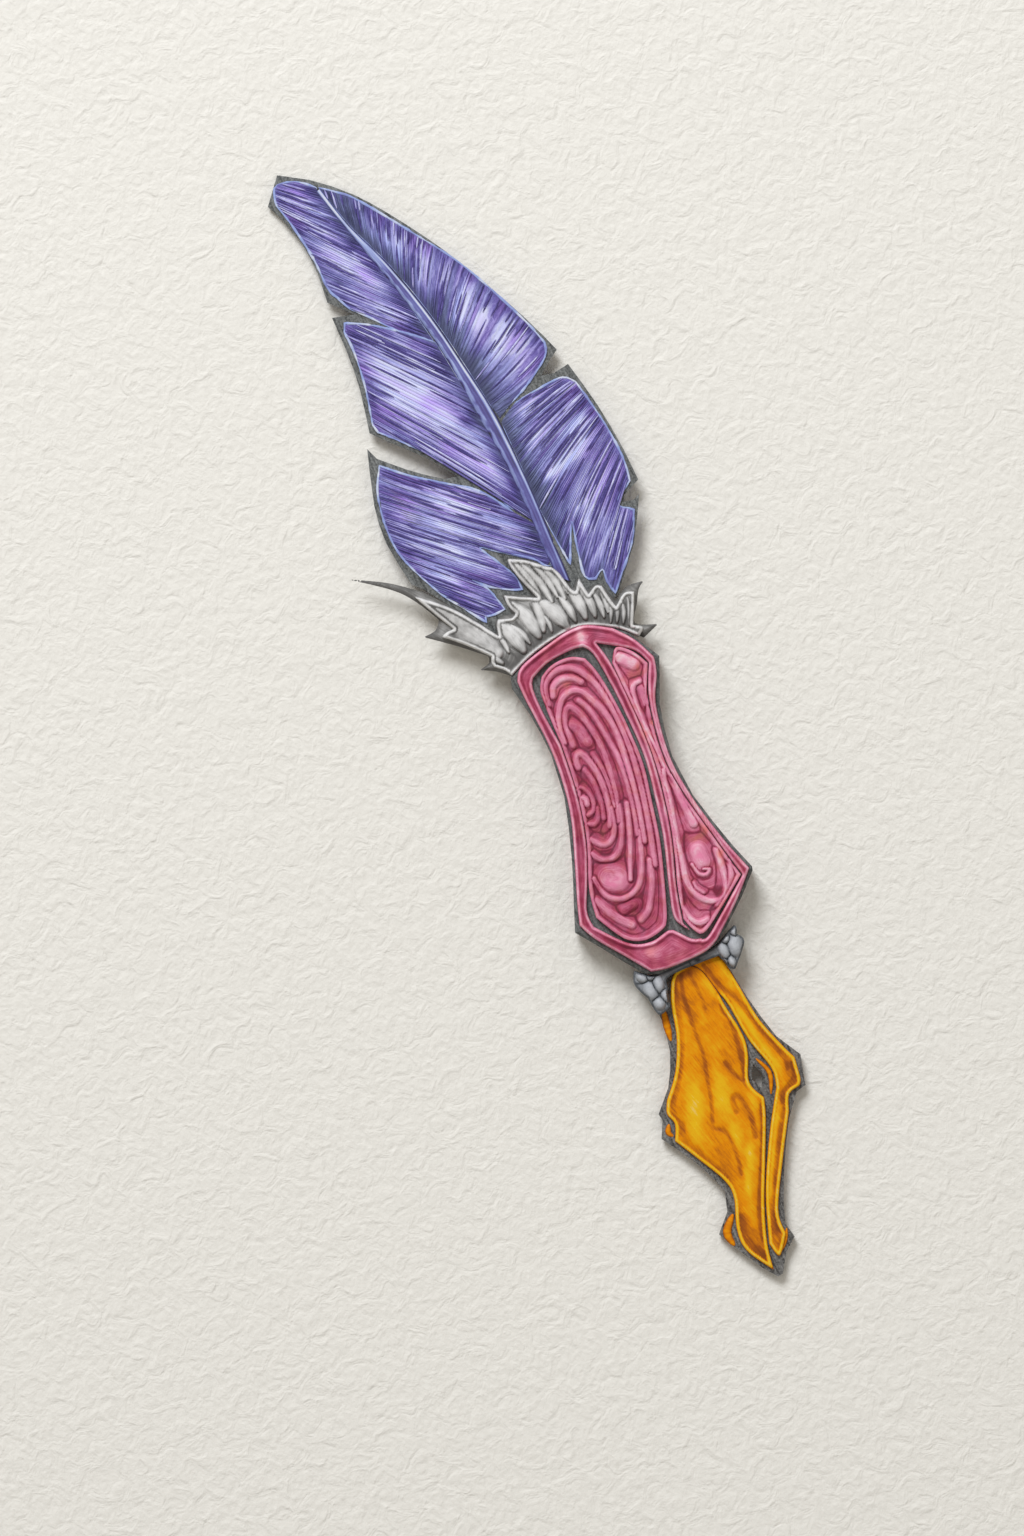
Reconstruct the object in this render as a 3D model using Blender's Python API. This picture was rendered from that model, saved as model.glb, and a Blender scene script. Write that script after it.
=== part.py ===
"""A feather quill pen that lies on a table, with its feather towards +Y and its nib towards -Y.

Every outline is read in plan, in millimetres, and MM turns millimetres into metres where a mesh
is made. An outline is a list of strokes: each stroke is a smooth curve, and strokes meet in corners.
"""

import math

import bmesh
import bpy
from mathutils.geometry import delaunay_2d_cdt

MM = 0.001

# Place of the plan's origin, which puts the whole quill's box over the world origin.
PLAN_SHIFT = (0.2 * MM, -0.7 * MM, 0.0)

# Heights of the grip's layers, from the table up.
CARVING = 0.8
GAP = 0.3
GRIP_THICK = 7.4
CORE_CHAMFER = 0.4
CORE_LOW = CARVING + GAP
CORE_HIGH = GRIP_THICK - CARVING - GAP
MID = GRIP_THICK / 2

# The feather's sheet: it leaves the ruff at mid height, droops to the table and arches over its shaft.
VANE_THICK = 0.8
MARGIN_THICK = 0.45
SHAFT_RISE = 0.55
DROOP = 2.7
DROOP_FROM = 26.0
DROOP_RUN = 78.0
ARCH = 1.1
ARCH_REACH = 19.0

# The ruff's front and back swell from thin tips to a thick root, and a slot between holds the feather.
RUFF_TIP = 1.75
RUFF_ROOT = 2.7
LOCK_RISE = 0.55
SPIKE_THIN = 0.35
SLOT_HALF = 1.15

# The nib's plate slopes from the ferrule down to its point.
NIB_TOP_Y = -47.5
NIB_LENGTH = 54.6
NIB_DROP = 2.2
NIB_MID = 3.4
NIB_HALF = 0.6
NIB_ARCH = 0.9
LEAF_THICK = 0.55
LEAF_FLAT = 0.3

# The ferrule is a collar as thick as the space between the grip's carved faces.
FERRULE_HALF = 1.9
FERRULE_RISE = 0.7

FEATHER_EDGE = (
    ((-8.0, 103.7), (-3.4, 100.7), (2.5, 95.1), (8.3, 86.9), (13.9, 77.2), (19.9, 64.0)),
    ((22.6, 56.6), (20.5, 55.4)),
    ((18.3, 53.7), (20.5, 53.2)),
    ((23.3, 53.6), (24.9, 45.1), (25.7, 36.5)),
    ((25.8, 30.7), (22.4, 29.3)),
    ((21.9, 28.3), (23.6, 27.9)),
    ((24.9, 28.4), (20.5, 21.1), (16.75, 17.0)),
    ((14.4, 14.5),),
    ((12.0, 13.6), (6.0, 15.4), (-3.0, 14.6)),
    ((-7.4, 15.6), (-9.7, 20.2), (-12.4, 24.9), (-15.2, 29.2)),
    ((-16.7, 30.8), (-17.65, 39.0), (-16.8, 45.6), (-15.1, 51.1)),
    ((-13.8, 54.9),),
    ((-13.0, 52.7), (-9.1, 48.8), (-3.9, 44.6)),
    ((-1.8, 44.2), (-4.9, 48.8), (-10.1, 54.6)),
    ((-12.3, 57.2), (-10.6, 64.8), (-9.9, 72.0)),
    ((-9.8, 77.7),),
    ((-6.1, 76.6),),
    ((-9.4, 80.4), (-8.8, 85.4), (-9.15, 91.9), (-10.6, 97.0)),
    ((-11.7, 99.5),),
)

# The lobes of the vanes stand a little higher than the dark margin round them.
LOBES = (
    (
        ((-8.1, 102.3), (-2.8, 99.2), (2.5, 94.2), (8.3, 85.7), (14.2, 76.3), (19.5, 64.0)),
        ((21.0, 58.2), (18.2, 54.7), (11.9, 51.5)),
        ((8.6, 50.0), (7.0, 66.0), (3.5, 79.0), (-1.0, 91.0)),
        ((-2.9, 98.0), (-0.2, 87.5), (2.6, 76.0)),
        ((4.2, 66.9), (-1.65, 72.2), (-6.0, 77.6)),
        ((-8.3, 82.5), (-8.5, 90.0), (-10.1, 98.0)),
    ),
    (
        ((4.3, 66.2), (5.8, 55.0), (6.8, 42.0)),
        ((7.0, 31.0), (3.8, 35.1), (2.2, 39.6), (-3.3, 48.2), (-8.4, 54.0)),
        ((-11.1, 57.4), (-9.6, 64.8), (-8.9, 72.0)),
        ((-8.0, 75.6), (-2.8, 72.5)),
    ),
    (
        ((-13.1, 51.4), (-16.0, 44.3), (-16.2, 35.6), (-13.3, 28.2), (-10.1, 23.0)),
        ((-7.8, 20.0), (-4.1, 20.3), (-5.9, 25.8)),
        ((-5.0, 25.0), (-1.7, 22.8)),
        ((0.0, 22.2), (-1.0, 26.4), (-3.5, 31.2)),
        ((-3.0, 31.5), (2.2, 27.3), (6.0, 23.8)),
        ((6.9, 30.2), (3.6, 34.3), (0.2, 40.4), (-4.6, 44.4)),
    ),
    (
        ((8.7, 48.8), (12.1, 51.2), (21.0, 51.9), (23.6, 48.25), (24.9, 39.5)),
        ((25.0, 32.0), (21.1, 28.4)),
        ((22.8, 26.4), (18.3, 19.2)),
        ((14.1, 15.0), (13.9, 19.3)),
        ((12.0, 18.6), (10.7, 21.0), (12.4, 29.2)),
        ((9.3, 22.5),),
    ),
)

SHAFT_LEFT = (
    (-2.9, 98.3), (-1.65, 92.8), (0.7, 83.6), (3.1, 73.6),
    (4.9, 64.0), (5.9, 51.1), (6.7, 40.0), (6.4, 27.5),
)
SHAFT_RIGHT = (
    (-2.6, 98.4), (-0.8, 91.0), (2.8, 81.0), (5.4, 70.7),
    (7.0, 60.8), (8.3, 51.1), (8.5, 38.0), (8.1, 27.5),
)

RUFF_EDGE = (
    ((-7.9, 10.0), (-3.5, 11.7), (1.5, 12.7), (6.5, 12.7), (11.9, 9.9)),
    ((15.3, 5.9), (17.0, 6.6)),
    ((18.5, 7.0), (15.0, 8.8)),
    ((16.7, 11.7), (18.0, 13.8)),
    ((19.3, 14.7), (16.4, 15.0)),
    ((13.2, 12.9),),
    ((12.5, 17.0), (11.3, 17.5)),
    ((9.8, 16.7),),
    ((9.4, 19.8),),
    ((7.8, 18.1),),
    ((6.6, 22.9), (5.5, 23.6), (3.0, 25.9)),
    ((0.1, 27.9), (0.4, 24.0)),
    ((1.6, 19.8), (-1.1, 21.3)),
    ((-3.4, 22.6),),
    ((-3.0, 18.5), (-5.0, 19.1)),
    ((-6.3, 18.8),),
    ((-7.0, 16.7), (-9.3, 20.6), (-12.2, 24.5)),
    ((-15.6, 28.6), (-19.8, 32.4), (-23.7, 34.8)),
    ((-26.2, 36.2), (-20.2, 31.4), (-17.4, 28.0)),
    ((-15.0, 23.4), (-16.3, 22.0)),
    ((-18.6, 21.8), (-14.3, 18.2)),
    ((-10.0, 14.2), (-10.4, 13.1)),
    ((-12.3, 12.7),),
)

# Each lock of down: its root, its tip and its half width.
LOCKS = (
    ((-8.2, 13.2), (-17.1, 28.6), 2.3),
    ((-7.5, 12.2), (-10.1, 13.6), 0.6),
    ((-4.6, 12.9), (-6.1, 18.7), 0.8),
    ((-3.2, 13.2), (-4.9, 18.3), 0.6),
    ((-1.6, 14.0), (-3.3, 22.0), 1.1),
    ((0.3, 13.6), (-1.1, 20.9), 1.0),
    ((1.7, 14.0), (1.3, 19.4), 0.6),
    ((2.6, 15.4), (0.3, 27.2), 1.0),
    ((3.9, 13.8), (2.9, 25.4), 1.1),
    ((5.6, 14.4), (4.5, 23.9), 0.8),
    ((6.9, 13.8), (6.1, 22.7), 0.7),
    ((8.0, 13.8), (7.3, 19.6), 0.6),
    ((9.2, 12.8), (9.3, 19.3), 0.7),
    ((10.4, 11.6), (10.9, 17.0), 0.6),
    ((11.6, 10.7), (12.2, 16.9), 0.6),
    ((12.8, 9.6), (13.4, 12.9), 0.5),
    ((13.4, 8.8), (15.4, 14.3), 0.6),
    ((14.5, 8.2), (17.2, 14.0), 0.6),
    ((14.6, 6.9), (17.4, 7.2), 0.6),
)
SPIKE_ENDS = ((-26.2, 36.2), (-18.6, 21.8), (-12.3, 12.7), (19.3, 14.7), (18.5, 7.0))
SPIKE_REACH = 9.0

GRIP_EDGE = (
    ((-8.1, 9.4), (-8.7, 7.5), (-7.8, 2.3), (-7.4, -5.5), (-8.4, -12.9), (-11.7, -23.0), (-14.6, -30.0)),
    ((-16.5, -34.6), (-13.9, -38.3), (-11.0, -42.7)),
    ((-8.7, -45.9), (-6.8, -46.9), (2.0, -47.0), (4.9, -46.2)),
    ((7.9, -44.0), (11.7, -41.0)),
    ((15.6, -37.4), (14.1, -32.7), (11.5, -21.8), (11.1, -14.4), (12.9, -5.5), (15.4, -0.1)),
    ((16.3, 2.0), (13.2, 7.9)),
    ((11.5, 9.6), (6.8, 12.2), (0.7, 12.0), (-5.4, 10.6)),
)
FRAME_EDGE = (
    ((-7.3, 8.6), (-7.5, 5.0), (-7.1, -4.0), (-8.0, -13.0), (-10.2, -20.3), (-12.9, -27.1)),
    ((-15.2, -33.6), (-13.9, -36.9), (-10.2, -42.2)),
    ((-7.6, -46.0), (-4.4, -46.6), (2.2, -46.6)),
    ((4.8, -45.8), (10.5, -41.3)),
    ((14.9, -37.0), (12.9, -30.3), (11.2, -22.0), (10.8, -14.4), (12.4, -5.5), (14.6, -0.6)),
    ((15.5, 2.0), (12.7, 7.4)),
    ((11.0, 9.2), (6.6, 11.7), (0.7, 11.5), (-5.4, 10.1)),
)
LEFT_WINDOW = (
    ((-5.5, -8.0), (-5.6, 1.4), (-5.0, 7.2), (-1.0, 9.2)),
    ((4.4, 9.3), (6.6, 3.8), (7.2, -4.0), (6.8, -12.5), (4.6, -23.0), (2.1, -31.5)),
    ((0.0, -39.3), (-2.9, -41.2), (-7.3, -41.0), (-10.7, -38.1)),
    ((-13.3, -34.2), (-11.9, -29.6), (-8.5, -21.8)),
)
RIGHT_WINDOW = (
    ((7.7, 8.3), (8.5, 0.4), (8.3, -8.0), (7.6, -16.0), (5.4, -26.0), (2.6, -34.5)),
    ((1.2, -40.2), (2.2, -43.4), (4.0, -44.3), (8.8, -40.7)),
    ((13.4, -37.3), (11.9, -30.3), (10.0, -20.0), (9.6, -13.0), (11.3, -4.0)),
    ((14.1, 1.7), (11.5, 6.0)),
)
LEFT_PANEL = (
    ((-4.8, -8.0), (-4.8, 1.4), (-3.7, 6.2), (0.0, 8.1)),
    ((3.9, 6.6), (5.9, 1.9), (6.5, -5.0), (6.1, -13.3), (3.9, -22.5), (1.5, -30.5)),
    ((-1.4, -38.3), (-4.2, -40.1), (-8.2, -39.0)),
    ((-11.9, -33.9), (-10.9, -29.0), (-7.6, -20.5)),
)
RIGHT_PANEL = (
    ((8.5, 3.6), (9.1, 0.4), (8.9, -8.0), (8.2, -16.0), (6.1, -26.0), (3.4, -34.0)),
    ((1.9, -39.9), (2.8, -42.6), (4.3, -43.4), (8.4, -40.3)),
    ((12.6, -37.0), (11.3, -30.3), (9.5, -20.0), (9.0, -13.0), (10.6, -4.0)),
    ((13.4, 1.4), (11.0, 5.2)),
)

# Carved ridges: the points of each, its half width and its height.
LEFT_RIDGES = (
    (
        (
            (-4.3, -6.0), (-4.1, -0.8), (-1.5, 2.6), (1.5, 2.3),
            (3.9, -1.6), (4.5, -7.2), (3.6, -16.0), (1.0, -27.0),
        ),
        0.75,
    ),
    (
        (
            (-3.4, 3.4), (-1.2, 5.9), (1.6, 5.6), (4.6, 1.4),
            (5.6, -5.0), (5.0, -13.6), (2.9, -22.8), (0.4, -31.2),
        ),
        0.7,
    ),
    (((-2.6, -3.0), (-1.6, 0.0), (0.2, -0.4), (1.4, -6.0), (0.9, -12.4), (-0.7, -20.0)), 0.65),
    (((-4.1, -9.6), (-3.0, -7.2), (-1.7, -9.0), (-1.1, -13.0), (-1.9, -17.6)), 0.6),
    (((-6.4, -14.2), (-5.4, -12.9), (-4.5, -15.0), (-5.4, -17.4), (-6.5, -16.4)), 0.55),
    (((-7.1, -21.4), (-5.4, -23.5), (-3.3, -21.9), (-1.9, -16.6)), 0.6),
    (((-8.4, -24.6), (-5.6, -26.3), (-2.6, -24.4), (-0.5, -19.4)), 0.6),
    (((-9.6, -27.8), (-6.4, -29.3), (-3.1, -28.4), (-0.5, -22.4), (0.8, -15.4)), 0.65),
    (((-10.4, -30.8), (-7.4, -32.5), (-3.0, -31.9), (0.0, -26.3), (2.1, -18.0)), 0.65),
    (((-10.6, -33.9), (-8.3, -36.2), (-4.6, -36.6), (-1.4, -33.4), (0.2, -29.6)), 0.7),
)
RIGHT_RIDGES = (
    (((9.5, 2.2), (10.6, 4.6), (12.2, 2.4), (11.2, 0.6), (10.0, -1.4), (9.7, -6.0), (9.6, -11.4)), 0.7),
    (((8.6, -17.0), (9.6, -21.0), (10.1, -25.6), (8.8, -28.4), (7.4, -25.4)), 0.75),
    (((9.6, -29.6), (10.6, -33.0), (9.2, -36.6), (6.8, -36.2), (6.8, -33.6), (8.6, -32.6)), 0.7),
    (((6.2, -27.4), (5.3, -31.5), (4.3, -36.2), (6.0, -39.6), (9.0, -38.9), (11.7, -35.6)), 0.65),
    (((4.2, -32.6), (2.9, -37.0), (2.9, -41.4), (4.8, -42.0), (8.0, -40.0)), 0.5),
)
RIDGE_RISE = 0.55

FERRULE_EDGE = (
    ((-10.2, -44.7), (-11.1, -46.9)),
    ((-10.0, -50.0), (-9.5, -53.0)),
    ((-6.9, -52.4), (-6.1, -49.4), (-4.9, -47.9)),
    ((4.2, -48.4), (5.0, -51.0)),
    ((5.6, -51.6), (8.9, -48.1)),
    ((8.3, -46.4), (8.6, -44.9)),
    ((5.1, -46.9), (2.0, -47.4), (-6.8, -47.3), (-8.9, -46.3)),
)
# Pebbles of the ferrule: centre, half width across and half width along.
PEBBLES = (
    (-9.3, -48.6, 0.8, 1.1),
    (-7.3, -48.6, 0.8, 1.0),
    (-8.6, -51.0, 0.7, 0.9),
    (-10.2, -46.4, 0.5, 0.8),
    (5.3, -48.4, 0.7, 0.9),
    (7.2, -47.0, 0.8, 0.9),
    (6.6, -49.2, 0.6, 0.6),
)
PEBBLE_SIDES = 8

NIB_EDGE = (
    ((-4.6, -48.2), (3.9, -48.7)),
    ((4.7, -51.3), (5.4, -57.0), (7.1, -65.1)),
    ((9.5, -69.6), (8.4, -73.3)),
    ((8.1, -74.7), (6.2, -75.1), (3.1, -78.7), (-2.0, -87.6), (-5.0, -94.7)),
    ((-4.5, -97.3), (-6.9, -99.1), (-9.0, -102.2)),
    ((-9.9, -102.3), (-11.6, -100.0), (-13.8, -96.0)),
    ((-16.0, -91.6), (-13.1, -88.7), (-12.0, -85.3), (-14.4, -78.9)),
    ((-18.0, -72.7), (-16.5, -69.9)),
    ((-16.7, -68.7), (-13.3, -65.3), (-10.4, -59.8), (-9.4, -55.0)),
    ((-9.45, -53.4), (-6.6, -52.8), (-5.8, -49.8)),
)
LEFT_LEAF = (
    ((-4.4, -49.0), (-6.9, -54.0), (-9.2, -60.2), (-12.7, -65.3)),
    ((-15.3, -69.0), (-15.0, -71.3)),
    ((-15.9, -73.9), (-12.4, -80.9), (-11.0, -85.8), (-13.0, -93.0)),
    ((-12.8, -96.4), (-10.1, -100.8)),
    ((-9.4, -96.4), (-5.1, -86.2), (0.2, -75.3)),
    ((0.6, -73.2), (-0.7, -70.3), (1.5, -65.6), (1.6, -58.0), (0.6, -49.4)),
)
RIGHT_LEAF = (
    ((1.6, -49.4), (3.6, -49.8), (4.7, -56.0), (6.4, -64.2)),
    ((8.3, -69.3), (7.5, -73.6)),
    ((4.9, -74.9), (1.6, -80.9), (-4.0, -90.2)),
    ((-5.7, -96.4), (-8.2, -98.9)),
    ((-8.2, -94.0), (-4.0, -85.3), (2.2, -74.4)),
    ((4.2, -70.0), (2.6, -63.0), (2.1, -55.0)),
)
VENT = ((1.1, -72.0), (0.2, -70.0), (1.5, -67.6), (2.2, -69.6))
LEAF_RIDGES = (
    (((-3.2, -50.5), (-4.6, -57.0), (-6.6, -64.0), (-8.6, -71.5), (-7.9, -78.0), (-8.6, -84.0)), 0.8),
    (((-6.3, -55.0), (-9.4, -62.0), (-13.0, -68.2), (-14.0, -73.6), (-11.8, -79.4)), 0.6),
    (((-1.2, -50.5), (-0.6, -59.0), (-2.0, -66.5), (-3.6, -72.0), (-4.6, -79.0)), 0.8),
    (((-0.9, -76.4), (-5.2, -85.6), (-9.6, -94.6)), 0.6),
)
RIGHT_LEAF_RIDGES = (
    (((3.2, -52.0), (3.6, -60.0), (5.7, -68.0), (5.2, -72.6)), 0.6),
    (((2.7, -76.5), (-2.2, -85.4), (-6.6, -94.0)), 0.5),
)

COLOURS = {
    "feather": (0.19, 0.16, 0.42),
    "down_ruff": (0.62, 0.61, 0.6),
    "grip_core": (0.13, 0.13, 0.13),
    "grip_frame": (0.62, 0.2, 0.3),
    "left_panel": (0.5, 0.09, 0.16),
    "right_panel": (0.55, 0.12, 0.2),
    "ferrule": (0.3, 0.31, 0.34),
    "nib_plate": (0.18, 0.16, 0.14),
    "nib_leaf": (0.78, 0.38, 0.04),
}
ROUGHNESS = {"feather": 0.7, "down_ruff": 0.85, "nib_leaf": 0.35, "nib_plate": 0.5, "ferrule": 0.5}
PLAIN_ROUGHNESS = 0.6
METALLIC = {"nib_leaf": 0.3, "ferrule": 0.3}


def clear_scene():
    for obj in list(bpy.data.objects):
        bpy.data.objects.remove(obj)


def smooth(points, step):
    """A Catmull-Rom curve through the points, with a point about every step millimetres."""
    ends = (points[0],) + tuple(points) + (points[-1],)
    curve = []
    for p0, p1, p2, p3 in zip(ends, ends[1:], ends[2:], ends[3:]):
        pieces = max(1, round(math.dist(p1, p2) / step))
        for i in range(pieces):
            t = i / pieces
            weights = (
                -0.5 * t * (1 - t) ** 2,
                1 - 2.5 * t**2 + 1.5 * t**3,
                0.5 * t + 2 * t**2 - 1.5 * t**3,
                -0.5 * t**2 * (1 - t),
            )
            curve.append(
                tuple(
                    sum(weight * value for weight, value in zip(weights, values))
                    for values in zip(p0, p1, p2, p3)
                )
            )
    return curve + [tuple(points[-1])]


def outline(strokes, step):
    """The closed outline of the strokes: each one runs on to the first point of the next."""
    loop = []
    for stroke, following in zip(strokes, strokes[1:] + strokes[:1]):
        loop += smooth(stroke + (following[0],), step)[:-1]
    return loop


def inside(point, loop):
    x, y = point
    crossings = 0
    for (x0, y0), (x1, y1) in zip(loop, loop[1:] + loop[:1]):
        if (y0 > y) != (y1 > y) and x < x0 + (y - y0) * (x1 - x0) / (y1 - y0):
            crossings += 1
    return crossings % 2 == 1


def distance(point, line):
    """How far the point is from the line, and how far along it the nearest place is, from 0 to 1."""
    x, y = point
    best, place = math.inf, 0.0
    for i, ((x0, y0), (x1, y1)) in enumerate(zip(line, line[1:])):
        length_squared = (x1 - x0) ** 2 + (y1 - y0) ** 2
        t = ((x - x0) * (x1 - x0) + (y - y0) * (y1 - y0)) / length_squared
        t = min(1.0, max(0.0, t))
        away = math.dist(point, (x0 + t * (x1 - x0), y0 + t * (y1 - y0)))
        if away < best:
            best, place = away, (i + t) / (len(line) - 1)
    return best, place


def beside(line, offset):
    """The line moved sideways by the offset, which narrows to nothing at both ends."""
    moved = []
    for i, (x, y) in enumerate(line):
        x0, y0 = line[max(0, i - 1)]
        x1, y1 = line[min(len(line) - 1, i + 1)]
        length = math.dist((x0, y0), (x1, y1))
        width = offset * math.sin(math.pi * (i + 0.5) / len(line)) ** 0.4
        moved.append((x - width * (y1 - y0) / length, y + width * (x1 - x0) / length))
    return moved


def triangles(loop, holes=(), lines=()):
    """Triangles that fill the loop, leave out the holes and have the lines among their edges."""
    points, edges = [], []
    for ring in (loop, *holes):
        first = len(points)
        points += ring
        edges += [(first + i, first + (i + 1) % len(ring)) for i in range(len(ring))]
    for line in lines:
        kept = [p for p in line if inside(p, loop) and not any(inside(p, hole) for hole in holes)]
        first = len(points)
        points += kept
        edges += [(first + i, first + i + 1) for i in range(len(kept) - 1)]
    found, _, faces, *_ = delaunay_2d_cdt(points, edges, [], 0, 0.03)
    found = [tuple(p) for p in found]
    filled = []
    for face in faces:
        centre = tuple(sum(found[i][axis] for i in face) / 3 for axis in (0, 1))
        if inside(centre, loop) and not any(inside(centre, hole) for hole in holes):
            filled.append(tuple(face))
    return found, filled


def rim_of(faces):
    """The edges that only one face has, each in that face's direction."""
    sides = {(a, b) for face in faces for a, b in zip(face, face[1:] + face[:1])}
    return [(a, b) for a, b in sides if (b, a) not in sides]


def plain_fill(points, faces):
    """Triangles over the same shape as the faces, with no points inside its rim."""
    rim = sorted(rim_of(faces))
    used = sorted({i for edge in rim for i in edge})
    order = {point: i for i, point in enumerate(used)}
    edges = [(order[a], order[b]) for a, b in rim]
    found, _, filled, sources, *_ = delaunay_2d_cdt([points[i] for i in used], edges, [], 0, 0.0)
    kept = []
    for face in filled:
        centre = tuple(sum(found[i][axis] for i in face) / 3 for axis in (0, 1))
        if any(inside_triangle(centre, [points[i] for i in known]) for known in faces):
            kept.append(tuple(used[sources[i][0]] for i in face))
    return kept


def inside_triangle(point, corners):
    x, y = point
    signs = [
        (x1 - x0) * (y - y0) - (y1 - y0) * (x - x0)
        for (x0, y0), (x1, y1) in zip(corners, corners[1:] + corners[:1])
    ]
    return min(signs) >= 0 or max(signs) <= 0


def body(plan, high, low, flat_top=False, flat_base=False):
    """One closed mesh over the plan, from the heights low(x, y) up to high(x, y)."""
    points, faces = plan
    plain = plain_fill(points, faces) if flat_top or flat_base else []
    mesh = bmesh.new()
    skins = []
    for height, side, turn in (
        (high, plain if flat_top else faces, 1),
        (low, plain if flat_base else faces, -1),
    ):
        verts = {
            i: mesh.verts.new((points[i][0] * MM, points[i][1] * MM, height(*points[i]) * MM))
            for i in sorted({i for face in side for i in face})
        }
        for face in side:
            mesh.faces.new([verts[i] for i in face][::turn])
        skins.append(verts)
    top, base = skins
    for a, b in rim_of(faces):
        mesh.faces.new((top[b], top[a], base[a], base[b]))
    bmesh.ops.triangulate(mesh, faces=mesh.faces[:])
    return mesh


def finish(look):
    """A plain finish for one kind of piece."""
    made = bpy.data.materials.get(look) or bpy.data.materials.new(look)
    made.use_nodes = True
    shader = made.node_tree.nodes["Principled BSDF"]
    shader.inputs["Base Color"].default_value = (*COLOURS[look], 1.0)
    shader.inputs["Roughness"].default_value = ROUGHNESS.get(look, PLAIN_ROUGHNESS)
    shader.inputs["Metallic"].default_value = METALLIC.get(look, 0.0)
    return made


def add(name, look, mesh, parent):
    """Puts the mesh into the scene as one named piece on the quill's plan."""
    data = bpy.data.meshes.new(name)
    mesh.to_mesh(data)
    mesh.free()
    obj = bpy.data.objects.new(name, data)
    bpy.context.scene.collection.objects.link(obj)
    obj.parent = parent
    data.materials.append(finish(look))
    return obj


def make_plan_origin():
    """The empty that every piece hangs from: it centres the quill's box over the world origin."""
    origin = bpy.data.objects.new("plan_origin", None)
    origin.location = PLAN_SHIFT
    bpy.context.scene.collection.objects.link(origin)
    return origin


def mirrored(height):
    """The same relief on the underside: the quill's back is its front turned over."""
    return lambda x, y: GRIP_THICK - height(x, y)


def sheet_middle(x, y):
    """Height of the middle of the feather's sheet: it droops to its tip and arches over the shaft."""
    along = min(1.0, max(0.0, (y - DROOP_FROM) / DROOP_RUN))
    away, _ = distance((x, y), SHAFT_LEFT)
    return MID - DROOP * along**1.4 - ARCH * min(1.0, away / ARCH_REACH) ** 2 * min(1.0, 3 * along)


def make_feather(parent):
    """The shaft and both vanes, grown as one sheet with splits between the lobes."""
    loop = outline(FEATHER_EDGE, 4.0)
    lobes = [outline(strokes, 5.0) for strokes in LOBES]
    left = smooth(SHAFT_LEFT, 5.0)
    right = smooth(SHAFT_RIGHT, 5.0)
    crest = [((x0 + x1) / 2, (y0 + y1) / 2) for (x0, y0), (x1, y1) in zip(left, right)]
    lines = [lobe + lobe[:1] for lobe in lobes] + [left, right, crest]

    def half(x, y):
        if distance((x, y), crest)[0] < 0.05:
            return VANE_THICK / 2 + SHAFT_RISE
        in_lobe = any(inside((x, y), lobe) for lobe in lobes)
        on_line = any(distance((x, y), line)[0] < 0.1 for line in lines)
        return (VANE_THICK if in_lobe or on_line else MARGIN_THICK) / 2

    plan = triangles(loop, lines=lines)
    mesh = body(
        plan,
        lambda x, y: sheet_middle(x, y) + half(x, y),
        lambda x, y: sheet_middle(x, y) - half(x, y),
    )
    return add("feather", "feather", mesh, parent)


def slot_cutter(parent):
    """The room in the ruff that the foot of the feather fills, with a gap all round."""
    foot = [p for p in outline(FEATHER_EDGE, 4.0) if p[1] < 33.0]
    middle_x = sum(p[0] for p in foot) / len(foot)
    middle_y = sum(p[1] for p in foot) / len(foot)
    grown = []
    for x, y in foot:
        away = math.dist((x, y), (middle_x, middle_y))
        reach = (away + 2 * GAP) / away
        grown.append((middle_x + (x - middle_x) * reach, middle_y + (y - middle_y) * reach))
    mesh = body(triangles(grown), lambda x, y: MID + SLOT_HALF, lambda x, y: MID - SLOT_HALF)
    cutter = add("slot_cutter", "feather", mesh, parent)
    cutter.hide_render = True
    cutter.display_type = "WIRE"
    return cutter


def make_ruff(parent):
    """The ruff of down: locks that fan out from the grip, thin spikes at its sides."""
    loop = outline(RUFF_EDGE, 4.0)
    root = smooth(RUFF_EDGE[0], 4.0)
    crests = [[start, ((start[0] + end[0]) / 2, (start[1] + end[1]) / 2), end] for start, end, _ in LOCKS]
    widths = [width for _, _, width in LOCKS]
    lines = crests + [beside(c, side * w) for c, w in zip(crests, widths) for side in (1, -1)]

    def half(x, y):
        from_root = distance((x, y), root)[0]
        swell = RUFF_TIP + (RUFF_ROOT - RUFF_TIP) * max(0.0, 1 - from_root / 9.0)
        rise = 0.0
        for crest, width in zip(crests, widths):
            away = distance((x, y), crest)[0]
            rise = max(rise, LOCK_RISE * (1 - away / width))
        spike = min(math.dist((x, y), end) for end in SPIKE_ENDS) / SPIKE_REACH
        return SPIKE_THIN + (swell + rise - SPIKE_THIN) * min(1.0, spike)

    plan = triangles(loop, lines=lines)
    mesh = body(plan, lambda x, y: MID + half(x, y), lambda x, y: MID - half(x, y))
    ruff = add("down_ruff", "down_ruff", mesh, parent)
    slot = ruff.modifiers.new("slot", "BOOLEAN")
    slot.object = slot_cutter(parent)
    slot.operation = "DIFFERENCE"
    return ruff


def carved(loop, ridges, base, rise, flat=0.0):
    """A plan and a height for a carved face: roof-shaped ridges that stand on a flat ground."""
    crests = [smooth(points, 2.6) for points, _ in ridges]
    widths = [width for _, width in ridges]
    lines = crests + [beside(c, side * w) for c, w in zip(crests, widths) for side in (1, -1)]

    def height(x, y):
        over = flat
        for crest, width in zip(crests, widths):
            over = max(over, rise * (1 - distance((x, y), crest)[0] / width))
        return base + over

    return triangles(loop, lines=lines), height


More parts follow.
